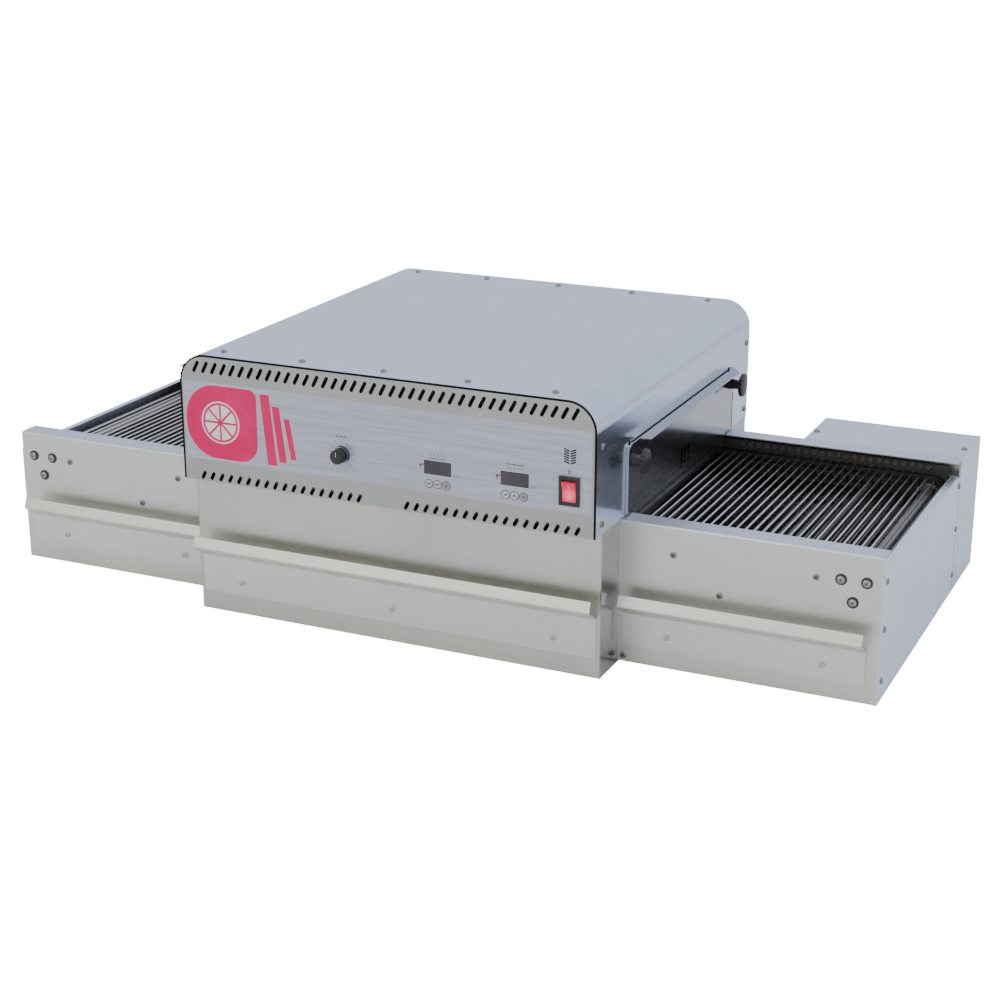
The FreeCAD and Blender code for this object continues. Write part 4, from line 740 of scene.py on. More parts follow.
def makeLinkTree(sizes):
    # one run of chain: inner and outer plates take turns, with rollers where the point asks for one
    tree, start, end = geometryTree("rollerChain", sizes)
    facing = put(tree, "GeometryNodeInputNamedAttribute", {"Name": "facing"}, data_type="FLOAT_VECTOR")
    aim = put(tree, "FunctionNodeAlignRotationToVector", axis="X")
    wire(tree, facing, "Attribute", aim, "Vector")
    index = put(tree, "GeometryNodeInputIndex")
    odd = put(tree, "ShaderNodeMath", operation="MODULO")
    odd.inputs[1].default_value = 2.0
    even = put(tree, "ShaderNodeMath", operation="SUBTRACT")
    even.inputs[0].default_value = 1.0
    wire(tree, index, "Index", odd, 0)
    wire(tree, odd, "Value", even, 1)

    def disc(radius, depth, tip, gap=None, side=0, vertices=10):
        # disc across the chain at one end of the link; gap and side set it against a plate
        shape = put(tree, "GeometryNodeMeshCylinder", {"Vertices": vertices})
        wire(tree, start, radius, shape, "Radius")
        wire(tree, start, depth, shape, "Depth")
        place = put(tree, "ShaderNodeCombineXYZ")
        wire(tree, times(tree, start, "Pitch", tip / 2), "Value", place, "X")
        if gap:
            aside = put(tree, "ShaderNodeMath", operation="MULTIPLY_ADD")
            aside.inputs[1].default_value = side / 2
            wire(tree, start, gap, aside, 0)
            wire(tree, times(tree, start, "Plate Thickness", side / 2), "Value", aside, 2)
            wire(tree, aside, "Value", place, "Y")
        move = put(tree, "GeometryNodeTransform", {"Rotation": (math.pi / 2, 0, 0)})
        wire(tree, shape, "Mesh", move, "Geometry")
        wire(tree, place, "Vector", move, "Translation")
        return move

    everything = put(tree, "GeometryNodeJoinGeometry")
    for gap, chosen in (("Inner Gap", odd), ("Outer Gap", even)):
        link = put(tree, "GeometryNodeJoinGeometry")
        for side in (-1, 1):
            ends = put(tree, "GeometryNodeJoinGeometry")
            for tip in (-1, 1):
                eye = disc("Plate Half Height", "Plate Thickness", tip, gap, side)
                wire(tree, eye, "Geometry", ends, "Geometry")
            plate = put(tree, "GeometryNodeConvexHull")
            wire(tree, ends, "Geometry", plate, "Geometry")
            wire(tree, plate, "Convex Hull", link, "Geometry")
        if gap == "Outer Gap":
            for tip in (-1, 1):
                wire(tree, disc("Pin Radius", "Pin Length", tip, vertices=8), "Geometry", link, "Geometry")
        copies = copyOnPoints(tree, start, link, "Geometry", aim, (chosen, "Value"))
        wire(tree, copies, "Instances", everything, "Geometry")
    wanted = put(tree, "GeometryNodeInputNamedAttribute", {"Name": "turn"}, data_type="FLOAT")
    roller = disc("Roller Radius", "Inner Gap", 1)
    rollers = copyOnPoints(tree, start, roller, "Geometry", aim, (wanted, "Attribute"))
    wire(tree, rollers, "Instances", everything, "Geometry")
    closeTree(tree, start, end, everything, "Geometry")
    return tree


wheelClearance = 0.012  # links nearer than this to a wheel's teeth have no roller


def chainRun(first, firstRadius, last, lastRadius, pitch, y):
    # middles and headings of the links on a loop round two wheels, in the XZ plane
    gap = last - first
    heading = math.atan2(gap.y, gap.x)
    lean = math.acos((firstRadius - lastRadius) / gap.length)
    straight = math.sqrt(gap.length ** 2 - (firstRadius - lastRadius) ** 2)
    wraps = (lastRadius * 2 * lean, firstRadius * (2 * math.pi - 2 * lean))
    total = 2 * straight + sum(wraps)
    count = 2 * round(total / pitch / 2)

    def around(centre, radius, angle):
        return centre + Vector((math.cos(angle), math.sin(angle))) * radius

    def spot(distance):
        distance %= total
        if distance <= straight:
            angle = heading + lean
            return around(around(first, firstRadius, angle), distance, angle - math.pi / 2)
        distance -= straight
        if distance <= wraps[0]:
            return around(last, lastRadius, heading + lean - distance / lastRadius)
        distance -= wraps[0]
        if distance <= straight:
            angle = heading - lean
            return around(around(last, lastRadius, angle), distance, angle - math.pi / 2)
        distance -= straight
        return around(first, firstRadius, heading - lean - distance / firstRadius)

    middles, headings, rollers = [], [], []
    for index in range(count):
        here = spot(index * total / count)
        there = spot((index + 1) * total / count)
        step = there - here
        middles.append(Vector(((here.x + there.x) / 2, y, (here.y + there.y) / 2)))
        headings.append(Vector((step.x, 0, step.y)).normalized())
        reach = min((there - first).length, (there - last).length)
        rollers.append(0.0 if reach < max(firstRadius, lastRadius) + wheelClearance else 1.0)
    return middles, headings, rollers


def flat(axle):
    return Vector((axle.x, axle.z))


linkTree = makeLinkTree(chainSizes)
wheels = {"belt": 9, "motor": 10, "drive": 14}  # teeth
wheelRadii = {name: chainSizes["Pitch"] / 2 / math.sin(math.pi / teeth) for name, teeth in wheels.items()}
joints = {joint["name"]: Vector(joint["pos_m"]) for joint in frame["joints"] if joint.get("pos_m")}
driveAxle, idlerAxle = joints["drive_shaft_spin"], joints["idler_shaft_spin"]
motorAxle = joints["motor_output_spin"]
beltSpans = [spanOf(points) for points in solidsOf("belt_chains")]
plateLevels = sorted({round((low.y + high.y) / 2, 4) for low, high in beltSpans})
middles, headings, rollers = [], [], []
for near, far in (plateLevels[:2], plateLevels[2:4]):
    run = chainRun(flat(idlerAxle), wheelRadii["belt"], flat(driveAxle), wheelRadii["belt"],
                   chainSizes["Pitch"], (near + far) / 2)
    middles += run[0]
    headings += run[1]
    rollers += run[2]
points = pointCloud("beltChains", middles, headings, rollers)
beltChains = bake(points, linkTree, chainSizes, steels["chainSteel"])
finishPiece(beltChains, "oven", ("belt_chains",))
print("belt chain links:", len(middles))

smallLow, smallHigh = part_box("drive_chain")
run = chainRun(flat(motorAxle), wheelRadii["motor"], flat(driveAxle), wheelRadii["drive"],
               chainSizes["Pitch"], (smallLow.y + smallHigh.y) / 2)
driveChain = bake(pointCloud("driveChain", *run), linkTree, chainSizes, steels["chainSteel"])
finishPiece(driveChain, "oven", ("drive_chain",))


gripSizes = {"Neck Radius": 0.0086, "Head Radius": 0.0166, "Length": 0.025, "Head Start": 0.0185,
             "Rib Radius": 0.0025, "Rib Count": 16}


def makeGripTree(sizes):
    # turned black grip: tapered neck, thin wide head, short ribs round its rim
    tree, start, end = geometryTree("ribbedGrips", sizes)
    neckRadius, headRadius, length = ((start, label) for label in ("Neck Radius", "Head Radius", "Length"))
    neck = hullOf(tree, [(neckRadius, 1.0, length, 0.0, 0.03), (neckRadius, 0.73, length, 0.7, 0.75)])
    headLength = put(tree, "ShaderNodeMath", operation="SUBTRACT")
    wire(tree, start, "Length", headLength, 0)
    wire(tree, start, "Head Start", headLength, 1)
    headDepth = (headLength, "Value")
    core = hullOf(tree, [(headRadius, 0.90, headDepth, 0.0, 1.0),
                         (headRadius, 1.0, headDepth, 0.12, 0.86)], 36)
    ringRadius = put(tree, "ShaderNodeMath", operation="SUBTRACT")
    wire(tree, start, "Head Radius", ringRadius, 0)
    wire(tree, times(tree, start, "Rib Radius", 0.45), "Value", ringRadius, 1)
    ring = put(tree, "GeometryNodeMeshCircle")
    wire(tree, start, "Rib Count", ring, "Vertices")
    wire(tree, ringRadius, "Value", ring, "Radius")
    rib = put(tree, "GeometryNodeMeshCylinder", {"Vertices": 10})
    wire(tree, start, "Rib Radius", rib, "Radius")
    wire(tree, times(tree, headLength, "Value", 0.74), "Value", rib, "Depth")
    ribs = put(tree, "GeometryNodeInstanceOnPoints")
    wire(tree, ring, "Mesh", ribs, "Points")
    wire(tree, rib, "Mesh", ribs, "Instance")
    ribsUp = raised(tree, ribs, "Instances", times(tree, headLength, "Value", 0.49), "Value")
    head = put(tree, "GeometryNodeJoinGeometry")
    wire(tree, core, "Convex Hull", head, "Geometry")
    wire(tree, ribsUp, "Geometry", head, "Geometry")
    whole = put(tree, "GeometryNodeJoinGeometry")
    wire(tree, neck, "Convex Hull", whole, "Geometry")
    wire(tree, raised(tree, head, "Geometry", start, "Head Start"), "Geometry", whole, "Geometry")
    closeTree(tree, start, end, copyOnPoints(tree, start, whole, "Geometry", aimRotation(tree)))
    return tree


gripTree = makeGripTree(gripSizes)
gateSides = (("right", 1), ("left", -1))
for side, sign in gateSides:
    for end in ("front", "back"):
        body = "gate_knob_%s_%s" % (side, end)
        low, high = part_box(body)
        foot = Vector((low.x if sign > 0 else high.x, (low.y + high.y) / 2, (low.z + high.z) / 2))
        point = pointCloud("gateGrip_%s_%s" % (side, end), [foot], [(sign, 0, 0)], [0.0])
        grip = bake(point, gripTree, dict(gripSizes, **{"Length": high.x - low.x}), plastics["knobPlastic"])
        finishPiece(grip, body, (body,))
low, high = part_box("speed_knob")
dialCentre = Vector(((low.x + high.x) / 2, low.y, (low.z + high.z) / 2))
print("grips on")


speedKnob = {"skirt": 0.0129, "cap": 0.0098, "nose": 0.0088, "skirtDepth": 0.004, "depth": 0.0168,
             "chamfer": 0.0008, "ribs": 18, "ribRadius": 0.0012, "behind": 0.0003}
overlayLow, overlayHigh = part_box("panel_overlay")
printPlane = overlayLow.y


def turnedShape(name, profile, centre, outward, material=None, steps=48):
    # closed shape turned round the Y axis; profile is (radius, distance in front of the centre)
    shape = bmesh.new()
    rings = []
    for radius, distance in profile:
        if radius < 1e-6:
            rings.append([shape.verts.new(centre + outward * distance)])
            continue
        ring = []
        for index in range(steps):
            angle = 2 * math.pi * index / steps
            ring.append(shape.verts.new(centre + outward * distance
                                        + Vector((math.cos(angle) * radius, 0, math.sin(angle) * radius))))
        rings.append(ring)
    for first, second in zip(rings, rings[1:]):
        for index in range(steps):
            after = (index + 1) % steps
            corners = [first[index % len(first)], first[after % len(first)],
                       second[after % len(second)], second[index % len(second)]]
            unique = list(dict.fromkeys(corners))
            if len(unique) > 2:
                shape.faces.new(unique)
    bmesh.ops.recalc_face_normals(shape, faces=shape.faces)
    return newPiece(name, shape, material)


def joinInto(target, others):
    # merges loose helper objects into one mesh
    shape = bmesh.new()
    for piece in [target] + others:
        shape.from_mesh(piece.data)
    shape.to_mesh(target.data)
    shape.free()
    for piece in others:
        bpy.data.objects.remove(piece)
    return target


def boxAt(name, centre, size, material):
    shape = bmesh.new()
    bmesh.ops.create_cube(shape, size=1.0, matrix=Matrix.Diagonal((*size, 1)))
    bmesh.ops.translate(shape, verts=shape.verts, vec=centre)
    return newPiece(name, shape, material)


def makeSpeedKnob(sizes, foot):
    # skirt and ribbed cap in one, then its pointer and the bright ring round the skirt
    skirt, cap, nose, depth = sizes["skirt"], sizes["cap"], sizes["nose"], sizes["depth"]
    step, chamfer, ribRadius = sizes["skirtDepth"], sizes["chamfer"], sizes["ribRadius"]
    profile = [(0, 0), (skirt, 0), (skirt, step * 0.55), (skirt - chamfer, step), (cap, step),
               (nose, depth - chamfer), (nose - chamfer, depth), (0, depth)]
    knob = turnedShape("speedKnob", profile, foot, front)
    ribProfile = [(0, step), (ribRadius, step), (ribRadius, depth - 0.0014), (0, depth - 0.0008)]
    ribs = []
    for index in range(sizes["ribs"]):
        angle = 2 * math.pi * index / sizes["ribs"]
        place = foot + Vector((math.cos(angle), 0, math.sin(angle))) * (cap + nose) / 2
        ribs.append(turnedShape("rib", ribProfile, place, front, steps=8))
    knob = joinInto(knob, ribs)
    knob.data.materials.append(plastics["knobPlastic"])
    finishPiece(knob, "speed_knob", ("speed_knob",))
    pointer = boxAt("speedPointer", foot + Vector((0, -depth - 0.00005, 0.0045)), (0.0010, 0.0003, 0.0070),
                    plastics["greyPlastic"])
    finishPiece(pointer, "speed_knob", smooth=0)
    inner, outer, low, high = skirt - 0.0016, skirt - 0.0006, 0.0039, 0.0042
    ring = turnedShape("skirtRing", [(inner, low), (inner, high), (outer, high), (outer, low), (inner, low)],
                       foot, front, steels["rodSteel"])
    finishPiece(ring, "speed_knob")


front = Vector((0, -1, 0))
makeSpeedKnob(speedKnob, Vector((dialCentre.x, printPlane - speedKnob["behind"], dialCentre.z)))


# dark strip in the gasket black: seams, and painted shadow lines at the gates and slots
def darkStrip(name, centre, size, body):
    strip = boxAt(name, Vector(centre), size, plastics["rubberAndShadowBlack"])
    finishPiece(strip, body, smooth=0)


gateShadowStrip = {"width": 0.0016, "depth": 0.0003, "short": 0.002}
for side, sign in gateSides:  # dark strip down the rear edge of each gate, a painted shadow of the gap there
    low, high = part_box("gate_" + side)
    gripLow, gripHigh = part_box("gate_knob_%s_back" % side)
    face = gripLow.x if sign > 0 else gripHigh.x
    darkStrip("gateShadowStrip_" + side, (face - sign * gateShadowStrip["depth"] / 2, high.y - gateShadowStrip["width"] / 2,
                                   (low.z + gripLow.z) / 2),
              (gateShadowStrip["depth"], gateShadowStrip["width"], gripLow.z - low.z - gateShadowStrip["short"]), "gate_" + side)
lipShadowStrip = {"width": 0.0014, "depth": 0.0003, "out": 0.0011, "short": 0.04}
for side, sign in gateSides:  # dark strip where the gate's lip meets the side, a painted shadow line
    low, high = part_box("gate_" + side)
    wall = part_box("hood")[1].x * sign
    darkStrip("lipShadowStrip_" + side,
              (wall + sign * lipShadowStrip["out"], (low.y + high.y) / 2, high.z + lipShadowStrip["depth"] / 2),
              (lipShadowStrip["width"], high.y - low.y - lipShadowStrip["short"], lipShadowStrip["depth"]), "gate_" + side)
slotShade = {"drop": 0.010, "height": 0.019, "depth": 0.0003, "short": 0.03, "off": 0.0002}
lowerLow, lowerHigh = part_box("lower_front_panel")  # dark strip behind the lower row of slots, painted shade that makes the slots read dark
darkStrip("slotShadeStrip", (0, lowerLow.y - slotShade["off"], lowerHigh.z - slotShade["drop"]),
          (lowerHigh.x - lowerLow.x - slotShade["short"], slotShade["depth"], slotShade["height"]), "oven")


hoodBead = {"radius": 0.042, "width": 0.0010, "ahead": 0.00025, "proud": 0.00012, "inner": 0.0017,
            "under": 0.0003, "steps": 12}


def archBead(name, half, top, bottom, front, sizes):
    # bead of sealant over an arch: up one side, round both corners, down the other
    shape = bmesh.new()
    path = [(half, bottom)]
    radius, steps = sizes["radius"], sizes["steps"]
    for sign, start in ((1, 0.0), (-1, math.pi / 2)):
        for step in range(steps + 1):
            angle = start + math.pi / 2 * step / steps
            path.append((sign * (half - radius) + radius * math.cos(angle),
                         top - radius + radius * math.sin(angle)))
    path.append((-half, bottom))
    near, far = front - sizes["ahead"], front + sizes["width"]
    proud = sizes["proud"]
    section = ((near, -sizes["inner"]), (near, proud), (far, proud), (far, -sizes["under"]))
    rows = []
    for index, (x, z) in enumerate(path):
        before, after = path[max(index - 1, 0)], path[min(index + 1, len(path) - 1)]
        out = Vector((after[1] - before[1], 0, before[0] - after[0])).normalized()
        rows.append([shape.verts.new(Vector((x, y, z)) + out * shift) for y, shift in section])
    for first, second in zip(rows, rows[1:]):
        for index in range(4):
            after = (index + 1) % 4
            shape.faces.new((first[index], first[after], second[after], second[index]))
    shape.faces.new(rows[0])
    shape.faces.new(rows[-1][::-1])
    bmesh.ops.recalc_face_normals(shape, faces=shape.faces)
    return newPiece(name, shape, plastics["rubberAndShadowBlack"])


hoodLow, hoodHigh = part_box("hood")
bead = archBead("hoodBead", hoodHigh.x, hoodHigh.z, hoodLow.z, hoodLow.y, hoodBead)
finishPiece(bead, "oven")
coverSeam = {"width": 0.0011, "depth": 0.0004, "back": 0.0001, "ahead": 0.0003, "short": 0.004}
coverLow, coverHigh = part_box("drive_box_cover")  # dark line where the cover laps the end panel
darkStrip("coverSeam", (coverHigh.x - coverSeam["back"], coverLow.y - coverSeam["ahead"],
                        (coverLow.z + coverHigh.z) / 2),
          (coverSeam["depth"], coverSeam["width"], coverHigh.z - coverLow.z - coverSeam["short"]), "oven")


inkDepth = 0.00005


def addPlate(shape, near, far):
    # closed plate between two like outlines
    shape.faces.new(near)
    shape.faces.new(far[::-1])
    for index in range(len(near)):
        after = (index + 1) % len(near)
        shape.faces.new((near[index], far[index], far[after], near[after]))


def ringPieces(x, z, outer, inner, start=0.0, sweep=2 * math.pi, steps=32):
    # outlines of the short pieces that make a flat ring
    angles = [start + sweep * i / steps for i in range(steps + 1)]
    for a, b in zip(angles, angles[1:]):
        yield [(x + radius * math.cos(angle), z + radius * math.sin(angle))
               for radius, angle in ((outer, a), (outer, b), (inner, b), (inner, a))]


class InkLayer:
    # thin closed print: flat shapes given a little thickness in front of the label
    def __init__(self, name, ink, level=0.0):
        self.name, self.material, self.level = name, plastics[ink], level
        self.shape = bmesh.new()

    def loop(self, outline):
        back = printPlane - self.level
        near, far = ([self.shape.verts.new((x, y, z)) for x, z in outline] for y in (back - inkDepth, back))
        addPlate(self.shape, near, far)

    def ring(self, *place, **options):
        for outline in ringPieces(*place, **options):
            self.loop(outline)

    def bar(self, x, z, width, height, spin=0.0):
        corners = [(a * width / 2, b * height / 2) for a, b in ((-1, -1), (1, -1), (1, 1), (-1, 1))]
        c, s = math.cos(spin), math.sin(spin)
        self.loop([(x + a * c - b * s, z + a * s + b * c) for a, b in corners])

    def finish(self, body="oven", slotName="overlay_print"):
        bmesh.ops.recalc_face_normals(self.shape, faces=self.shape.faces)
        return finishPiece(newPiece(self.name, self.shape, self.material), body, smooth=0)


def roundedField(x0, x1, z0, z1, radii, steps=10):
    # outline of a field with its own radius at each corner, from the lower left round
    outline = []
    corners = [(x0, z0, 1, 1, math.pi), (x1, z0, -1, 1, 1.5 * math.pi),
               (x1, z1, -1, -1, 0), (x0, z1, 1, -1, 0.5 * math.pi)]
    for (x, z, sx, sz, start), radius in zip(corners, radii):
        for step in range(steps + 1):
            angle = start + math.pi / 2 * step / steps
            outline.append((x + radius * (sx + math.cos(angle)), z + radius * (sz + math.sin(angle))))
    return outline


emblem = {"left": overlayLow.x + 0.003, "right": overlayLow.x + 0.121, "bottom": overlayLow.z + 0.004,
          "top": overlayHigh.z - 0.004, "corners": (0.05, 0.03, 0.012, 0.05), "offCentre": 0.002,
          "slices": 8, "sliceRadius": 0.026, "sliceGap": 0.12, "tip": 0.004, "rim": (0.0315, 0.0293),
          "bars": 3, "barStart": 0.006, "barStep": 0.019, "barWidth": 0.015, "barThinner": 0.003,
          "barLean": 0.010, "trim": 0.004, "trimStep": 0.016}
left, right, bottom, top = (emblem[key] for key in ("left", "right", "bottom", "top"))
crimson = InkLayer("crimsonPrint", "crimsonInk")
crimson.loop(roundedField(left, right, bottom, top, emblem["corners"]))
for index in range(emblem["bars"]):  # slanted bars, each thinner and shorter than the last
    x = right + emblem["barStart"] + index * emblem["barStep"]
    width = emblem["barWidth"] - index * emblem["barThinner"]
    trim = emblem["trim"] + index * emblem["trimStep"]
    foot, head, lean = bottom + trim * 0.4, top - trim, emblem["barLean"]
    crimson.loop([(x + lean, foot), (x + lean + width, foot), (x + width, head), (x, head)])
crimson.finish()
pale = InkLayer("palePrint", "paleInk", inkDepth)
centreX, centreZ = (left + right) / 2 - emblem["offCentre"], (bottom + top) / 2
sweep = 2 * math.pi / emblem["slices"] - emblem["sliceGap"]
for index in range(emblem["slices"]):  # a round cut into equal slices
    start = 2 * math.pi * index / emblem["slices"] + emblem["sliceGap"] / 2
    turns = [(emblem["tip"], start + sweep / 2)]
    turns += [(emblem["sliceRadius"], start + sweep * k / 8) for k in range(9)]
    pale.loop([(centreX + radius * math.cos(angle), centreZ + radius * math.sin(angle))
               for radius, angle in turns])
pale.ring(centreX, centreZ, *emblem["rim"], steps=48)
pale.finish()

border = {"inset": 0.0022, "width": 0.0011, "start": right + 0.06}
borderEnd = overlayHigh.x - border["inset"]
borderLow, borderTop = overlayLow.z + border["inset"], overlayHigh.z - border["inset"]
frameInk = InkLayer("borderPrint", "lilacInk")
for z in (borderLow, borderTop):
    frameInk.bar((border["start"] + borderEnd) / 2, z, borderEnd - border["start"], border["width"])
frameInk.bar(borderEnd, (borderLow + borderTop) / 2, border["width"], borderTop - borderLow)
frameInk.finish()

dial = {"radius": 0.0155, "tick": 0.0022, "tickWidth": 0.0005, "numbers": 0.0198, "numberSize": 0.0036,
        "sweep": math.radians(270), "count": 11, "chevrons": 0.0265, "chevronStep": 0.0062}
dialAngles = [math.pi / 2 + dial["sweep"] / 2 - dial["sweep"] * index / (dial["count"] - 1)
              for index in range(dial["count"])]
dark = InkLayer("darkPrint", "darkInk")
for angle in dialAngles:
    radius = dial["radius"] + dial["tick"] / 2
    dark.bar(dialCentre.x + radius * math.cos(angle), dialCentre.z + radius * math.sin(angle),
             dial["tick"], dial["tickWidth"], angle)

waves = {"over": 0.0078, "belt": 0.0035, "beltWidth": 0.028, "beltLine": 0.0009, "columns": 5,
         "pitch": 0.0052, "tall": 0.003, "swing": 0.0007, "half": 0.0004, "parts": 6,
         "foot": {-1: 0.0004, 1: -0.0034}}


def drawWaves(x, z, side):
    # upright heat waves on one side of a line that stands for the belt
    dark.bar(x, z + side * waves["belt"], waves["beltWidth"], waves["beltLine"])
    for column in range(waves["columns"]):
        middle = x + (column - 2) * waves["pitch"]
        points = []
        for part in range(waves["parts"] + 1):
            share = part / waves["parts"]
            points.append((middle + waves["swing"] * math.sin(2 * math.pi * share),
                           z + waves["foot"][side] + waves["tall"] * share))
        for (xa, za), (xb, zb) in zip(points, points[1:]):
            half = waves["half"]
            dark.loop([(xa - half, za), (xa + half, za), (xb + half, zb), (xb - half, zb)])


outline = {"line": 0.0006, "marks": 0.0055, "markStep": 0.0045}
windows = sorted((spanOf(points) for points in solidsOf("display_windows")), key=lambda span: span[0].x)
screens = [span for span in windows if span[1].x - span[0].x > 0.02]
lamps = [span for span in windows if span[1].x - span[0].x < 0.01]
for (low, high), side in zip(screens, (-1, 1)):
    x, z, wide, tall = (low.x + high.x) / 2, (low.z + high.z) / 2, high.x - low.x, high.z - low.z
    drawWaves(x, high.z + waves["over"], side)
    for step in range(2):  # small scale marks beside the window
        markX = high.x + outline["marks"] + step * outline["markStep"]
        dark.bar(markX, low.z + 0.0012, 0.0024, 0.0009)
        dark.bar(markX, low.z + 0.0032, 0.0012, 0.0009)
    line = outline["line"]
    for sign in (-1, 1):  # thin outline of the window
        dark.bar(x, z + sign * (tall + line) / 2, wide + 2 * line, line)
        dark.bar(x + sign * (wide + line) / 2, z, line, tall)
for low, high in lamps:
    x, z = (low.x + high.x) / 2, (low.z + high.z) / 2
    dark.bar(x + 0.0042, z + 0.0012, 0.0018, 0.0018)
    dark.bar(x, low.z - 0.0018, 0.0030, 0.0007)
keyRing = (0.0066, 0.0059)
keyCentres = {}
for row in ("upper", "lower"):
    for use in ("down", "up", "set"):
        low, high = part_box("key_%s_%s" % (row, use))
        keyCentres[row + "_" + use] = Vector(((low.x + high.x) / 2, low.y, (low.z + high.z) / 2))
for centre in keyCentres.values():
    dark.ring(centre.x, centre.z, *keyRing, steps=28)
for step in (-1, 0, 1):  # chevrons over the speed dial
    for sign in (-1, 1):
        dark.bar(dialCentre.x + step * dial["chevronStep"] + sign * 0.0012, dialCentre.z + dial["chevrons"],
                 0.0036, 0.0010, -sign * math.radians(40))
switchMarks = {"ring": 0.0065, "stroke": 0.0082, "hatch": 0.0195, "row": 0.0034, "column": 0.0095,
               "aside": 0.0045, "lean": math.radians(22)}
bezelLow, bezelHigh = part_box("switch_bezel")
switchX, switchTop = (bezelLow.x + bezelHigh.x) / 2, bezelHigh.z
dark.ring(switchX, switchTop + switchMarks["ring"], 0.0028, 0.0018, math.radians(120), math.radians(300), 20)
dark.bar(switchX, switchTop + switchMarks["stroke"], 0.0009, 0.0034)
for row in range(6):  # plain slanted hatching
    for column, sign in ((0, -1), (1, 1)):
        dark.bar(switchX - switchMarks["aside"] + column * switchMarks["column"],
                 switchTop + switchMarks["hatch"] + row * switchMarks["row"], 0.0082, 0.0021,
                 sign * switchMarks["lean"])
dark.finish()


def numberMesh(text, x, z):
    curve = bpy.data.curves.new("number", "FONT")
    curve.body = text
    curve.size = dial["numberSize"]
    curve.align_x = "CENTER"
    curve.align_y = "CENTER"
    curve.extrude = inkDepth / 2
    curve.resolution_u = 3
    holder = newObject("number", curve)
    bpy.context.view_layer.update()
    graph = bpy.context.evaluated_depsgraph_get()
    mesh = bpy.data.meshes.new_from_object(holder.evaluated_get(graph))
    bpy.data.objects.remove(holder)
    upright = Matrix.Rotation(math.pi / 2, 4, "X")
    mesh.transform(Matrix.Translation((x, printPlane - inkDepth / 2, z)) @ upright)
    return mesh


numbers = bmesh.new()
for index, angle in enumerate(dialAngles):
    numbers.from_mesh(numberMesh(str(index), dialCentre.x + dial["numbers"] * math.cos(angle),
                                 dialCentre.z + dial["numbers"] * math.sin(angle)))
bmesh.ops.remove_doubles(numbers, verts=numbers.verts, dist=1e-7)
bmesh.ops.recalc_face_normals(numbers, faces=numbers.faces)
dialNumbers = newPiece("dialNumbers", numbers, plastics["darkInk"])
finishPiece(dialNumbers, "oven", smooth=0)

for label, centre in keyCentres.items():
    mark = InkLayer("keyMark_" + label, "darkInk", printPlane - centre.y)
    if label.endswith("set"):
        mark.ring(centre.x, centre.z, 0.0022, 0.0014, steps=20)
    else:
        up = 1 if label.endswith("up") else -1
        for sign in (-1, 1):
            mark.bar(centre.x + sign * 0.0013, centre.z, 0.0040, 0.0013, -sign * up * math.radians(38))
    mark.finish("key_" + label, "plastic_grey")

indicator = {"proud": 0.0012, "over": 0.0002}
for index, (low, high) in enumerate(lamps):
    centre = Vector(((low.x + high.x) / 2, printPlane, (low.z + high.z) / 2))
    radius = (high.x - low.x) / 2 + indicator["over"]
    profile = [(0, 0), (radius, 0), (radius, 0.0004), (radius * 0.8, 0.0009), (radius * 0.4, 0.00115),
               (0, indicator["proud"])]
    lens = turnedShape("indicatorLens_%d" % index, profile, centre, front, plastics["redLens"], 24)
    finishPiece(lens, "oven")


low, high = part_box("power_rocker")
rockerX = (low.x + high.x) / 2
pivot = joints["power_rocker_tilt"]
rocker = {"tilt": math.radians(9), "face": 0.0034, "fall": 0.0024 / 0.0142, "proud": 0.00008,
          "sunk": 0.00001,
          "ring": (0.0026, 0.0018), "ringDrop": 0.0078, "stroke": (0.0055, 0.0100), "strokeHalf": 0.0005}


def rockerPoint(x, along, out):
    # a point on the upper or lower half of the cap, at its resting tilt
    local = Vector((x, -rocker["face"] - abs(along) * rocker["fall"] - out, along))
    turned = Matrix.Rotation(rocker["tilt"], 3, "X") @ local
    return Vector((rockerX + x, pivot.y + turned.y, pivot.z + turned.z))


marks = bmesh.new()
half, (strokeLow, strokeHigh) = rocker["strokeHalf"], rocker["stroke"]
patches = [[(-half, strokeLow), (half, strokeLow), (half, strokeHigh), (-half, strokeHigh)]]
patches += ringPieces(0.0, -rocker["ringDrop"], *rocker["ring"], steps=20)
for patch in patches:
    near, far = ([marks.verts.new(rockerPoint(x, z, out)) for x, z in patch]
                 for out in (rocker["proud"], rocker["sunk"]))
    addPlate(marks, near, far)
bmesh.ops.recalc_face_normals(marks, faces=marks.faces)
finishPiece(newPiece("rockerMarks", marks, plastics["paleInk"]), "power_rocker", smooth=0)
print("prints on")


camera = {"place": (1.22047, -2.60141, 1.09695), "look": (-0.3947, 0.8605, -0.3222), "lens": 70.0,
          "sensor": 36.0, "reach": 100.0}
optics = bpy.data.cameras.new("camera")
optics.lens = camera["lens"]
optics.sensor_width = camera["sensor"]
optics.clip_end = camera["reach"]
viewer = newObject("camera", optics)
viewer.location = camera["place"]
viewer.rotation_mode = "QUATERNION"
viewer.rotation_quaternion = Vector(camera["look"]).to_track_quat("-Z", "Y")
bpy.context.scene.camera = viewer

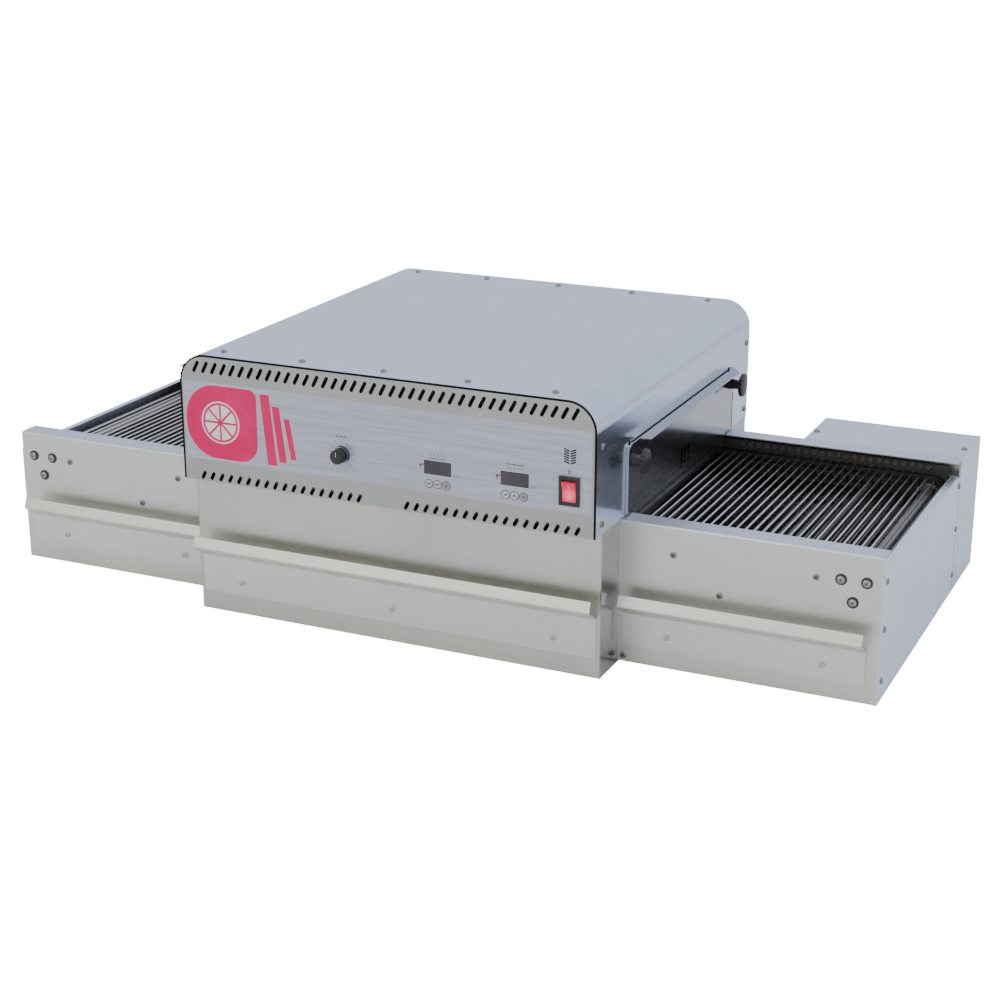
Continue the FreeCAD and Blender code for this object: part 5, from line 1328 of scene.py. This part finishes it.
studio = {"floorHalf": 60.0, "floorLevel": -0.0006, "floorGlow": 16.0, "skyStrength": 0.95,
          "coolSky": (0.90, 0.94, 1.04), "warmSky": (1.0, 0.99, 0.945)}
floorMesh = bpy.data.meshes.new("floor")
half = studio["floorHalf"]
floorCorners = [(x * half, y * half, studio["floorLevel"]) for x, y in ((-1, -1), (1, -1), (1, 1), (-1, 1))]
floorMesh.from_pydata(floorCorners, [], [(0, 1, 2, 3)])
floor = newObject("floor", floorMesh)
floorMaterial = bpy.data.materials.new("paleFloor")
floorMaterial.use_nodes = True
tree = floorMaterial.node_tree
base = tree.nodes["Principled BSDF"]
base.inputs["Base Color"].default_value = (0.80, 0.80, 0.79, 1)
base.inputs["Roughness"].default_value = 0.9
glow = put(tree, "ShaderNodeEmission", {"Color": (1, 1, 1, 1), "Strength": studio["floorGlow"]})
both = put(tree, "ShaderNodeAddShader")
ray = put(tree, "ShaderNodeLightPath")
pick = put(tree, "ShaderNodeMixShader")
wire(tree, base, "BSDF", both, 0)
wire(tree, glow, "Emission", both, 1)
wire(tree, ray, "Is Camera Ray", pick, 0)
wire(tree, base, "BSDF", pick, 1)
wire(tree, both, "Shader", pick, 2)
wire(tree, pick, "Shader", tree.nodes["Material Output"], "Surface")
floorMesh.materials.append(floorMaterial)

world = bpy.data.worlds.new("studio")
bpy.context.scene.world = world
world.use_nodes = True
tree = world.node_tree
backdrop = tree.nodes["Background"]
backdrop.inputs["Strength"].default_value = studio["skyStrength"]
place = put(tree, "ShaderNodeTexCoord")
split = put(tree, "ShaderNodeSeparateXYZ")
warmth = put(tree, "ShaderNodeMapRange", {"From Min": 0.1, "From Max": 0.9}, interpolation_type="SMOOTHSTEP")
sky = blendColours(tree, studio["coolSky"], studio["warmSky"])
wire(tree, place, "Generated", split, "Vector")
wire(tree, times(tree, split, "Y", -1.0), "Value", warmth, "Value")
wire(tree, warmth, "Result", sky, 0)
tree.links.new(sky.outputs[2], backdrop.inputs["Color"])


def softLight(name, place, target, size, power, colour):
    data = bpy.data.lights.new(name, "AREA")
    data.shape = "RECTANGLE"
    data.size, data.size_y = size
    data.energy = power
    data.color = colour
    made = newObject(name, data)
    made.location = place
    made.rotation_mode = "QUATERNION"
    made.rotation_quaternion = (Vector(target) - Vector(place)).to_track_quat("-Z", "Y")


softLight("frontKey", (-1.6, -3.4, 2.6), (0, 0, 0.2), (2.4, 1.8), 38.0, (1.0, 0.98, 0.93))
softLight("topSoft", (0.3, 0.6, 3.2), (0, 0, 0.3), (3.0, 2.4), 22.0, (0.93, 0.96, 1.0))
softLight("endFill", (3.6, -0.6, 1.6), (0.6, 0, 0.15), (2.0, 1.6), 20.0, (0.88, 0.93, 1.0))
print("studio lit")
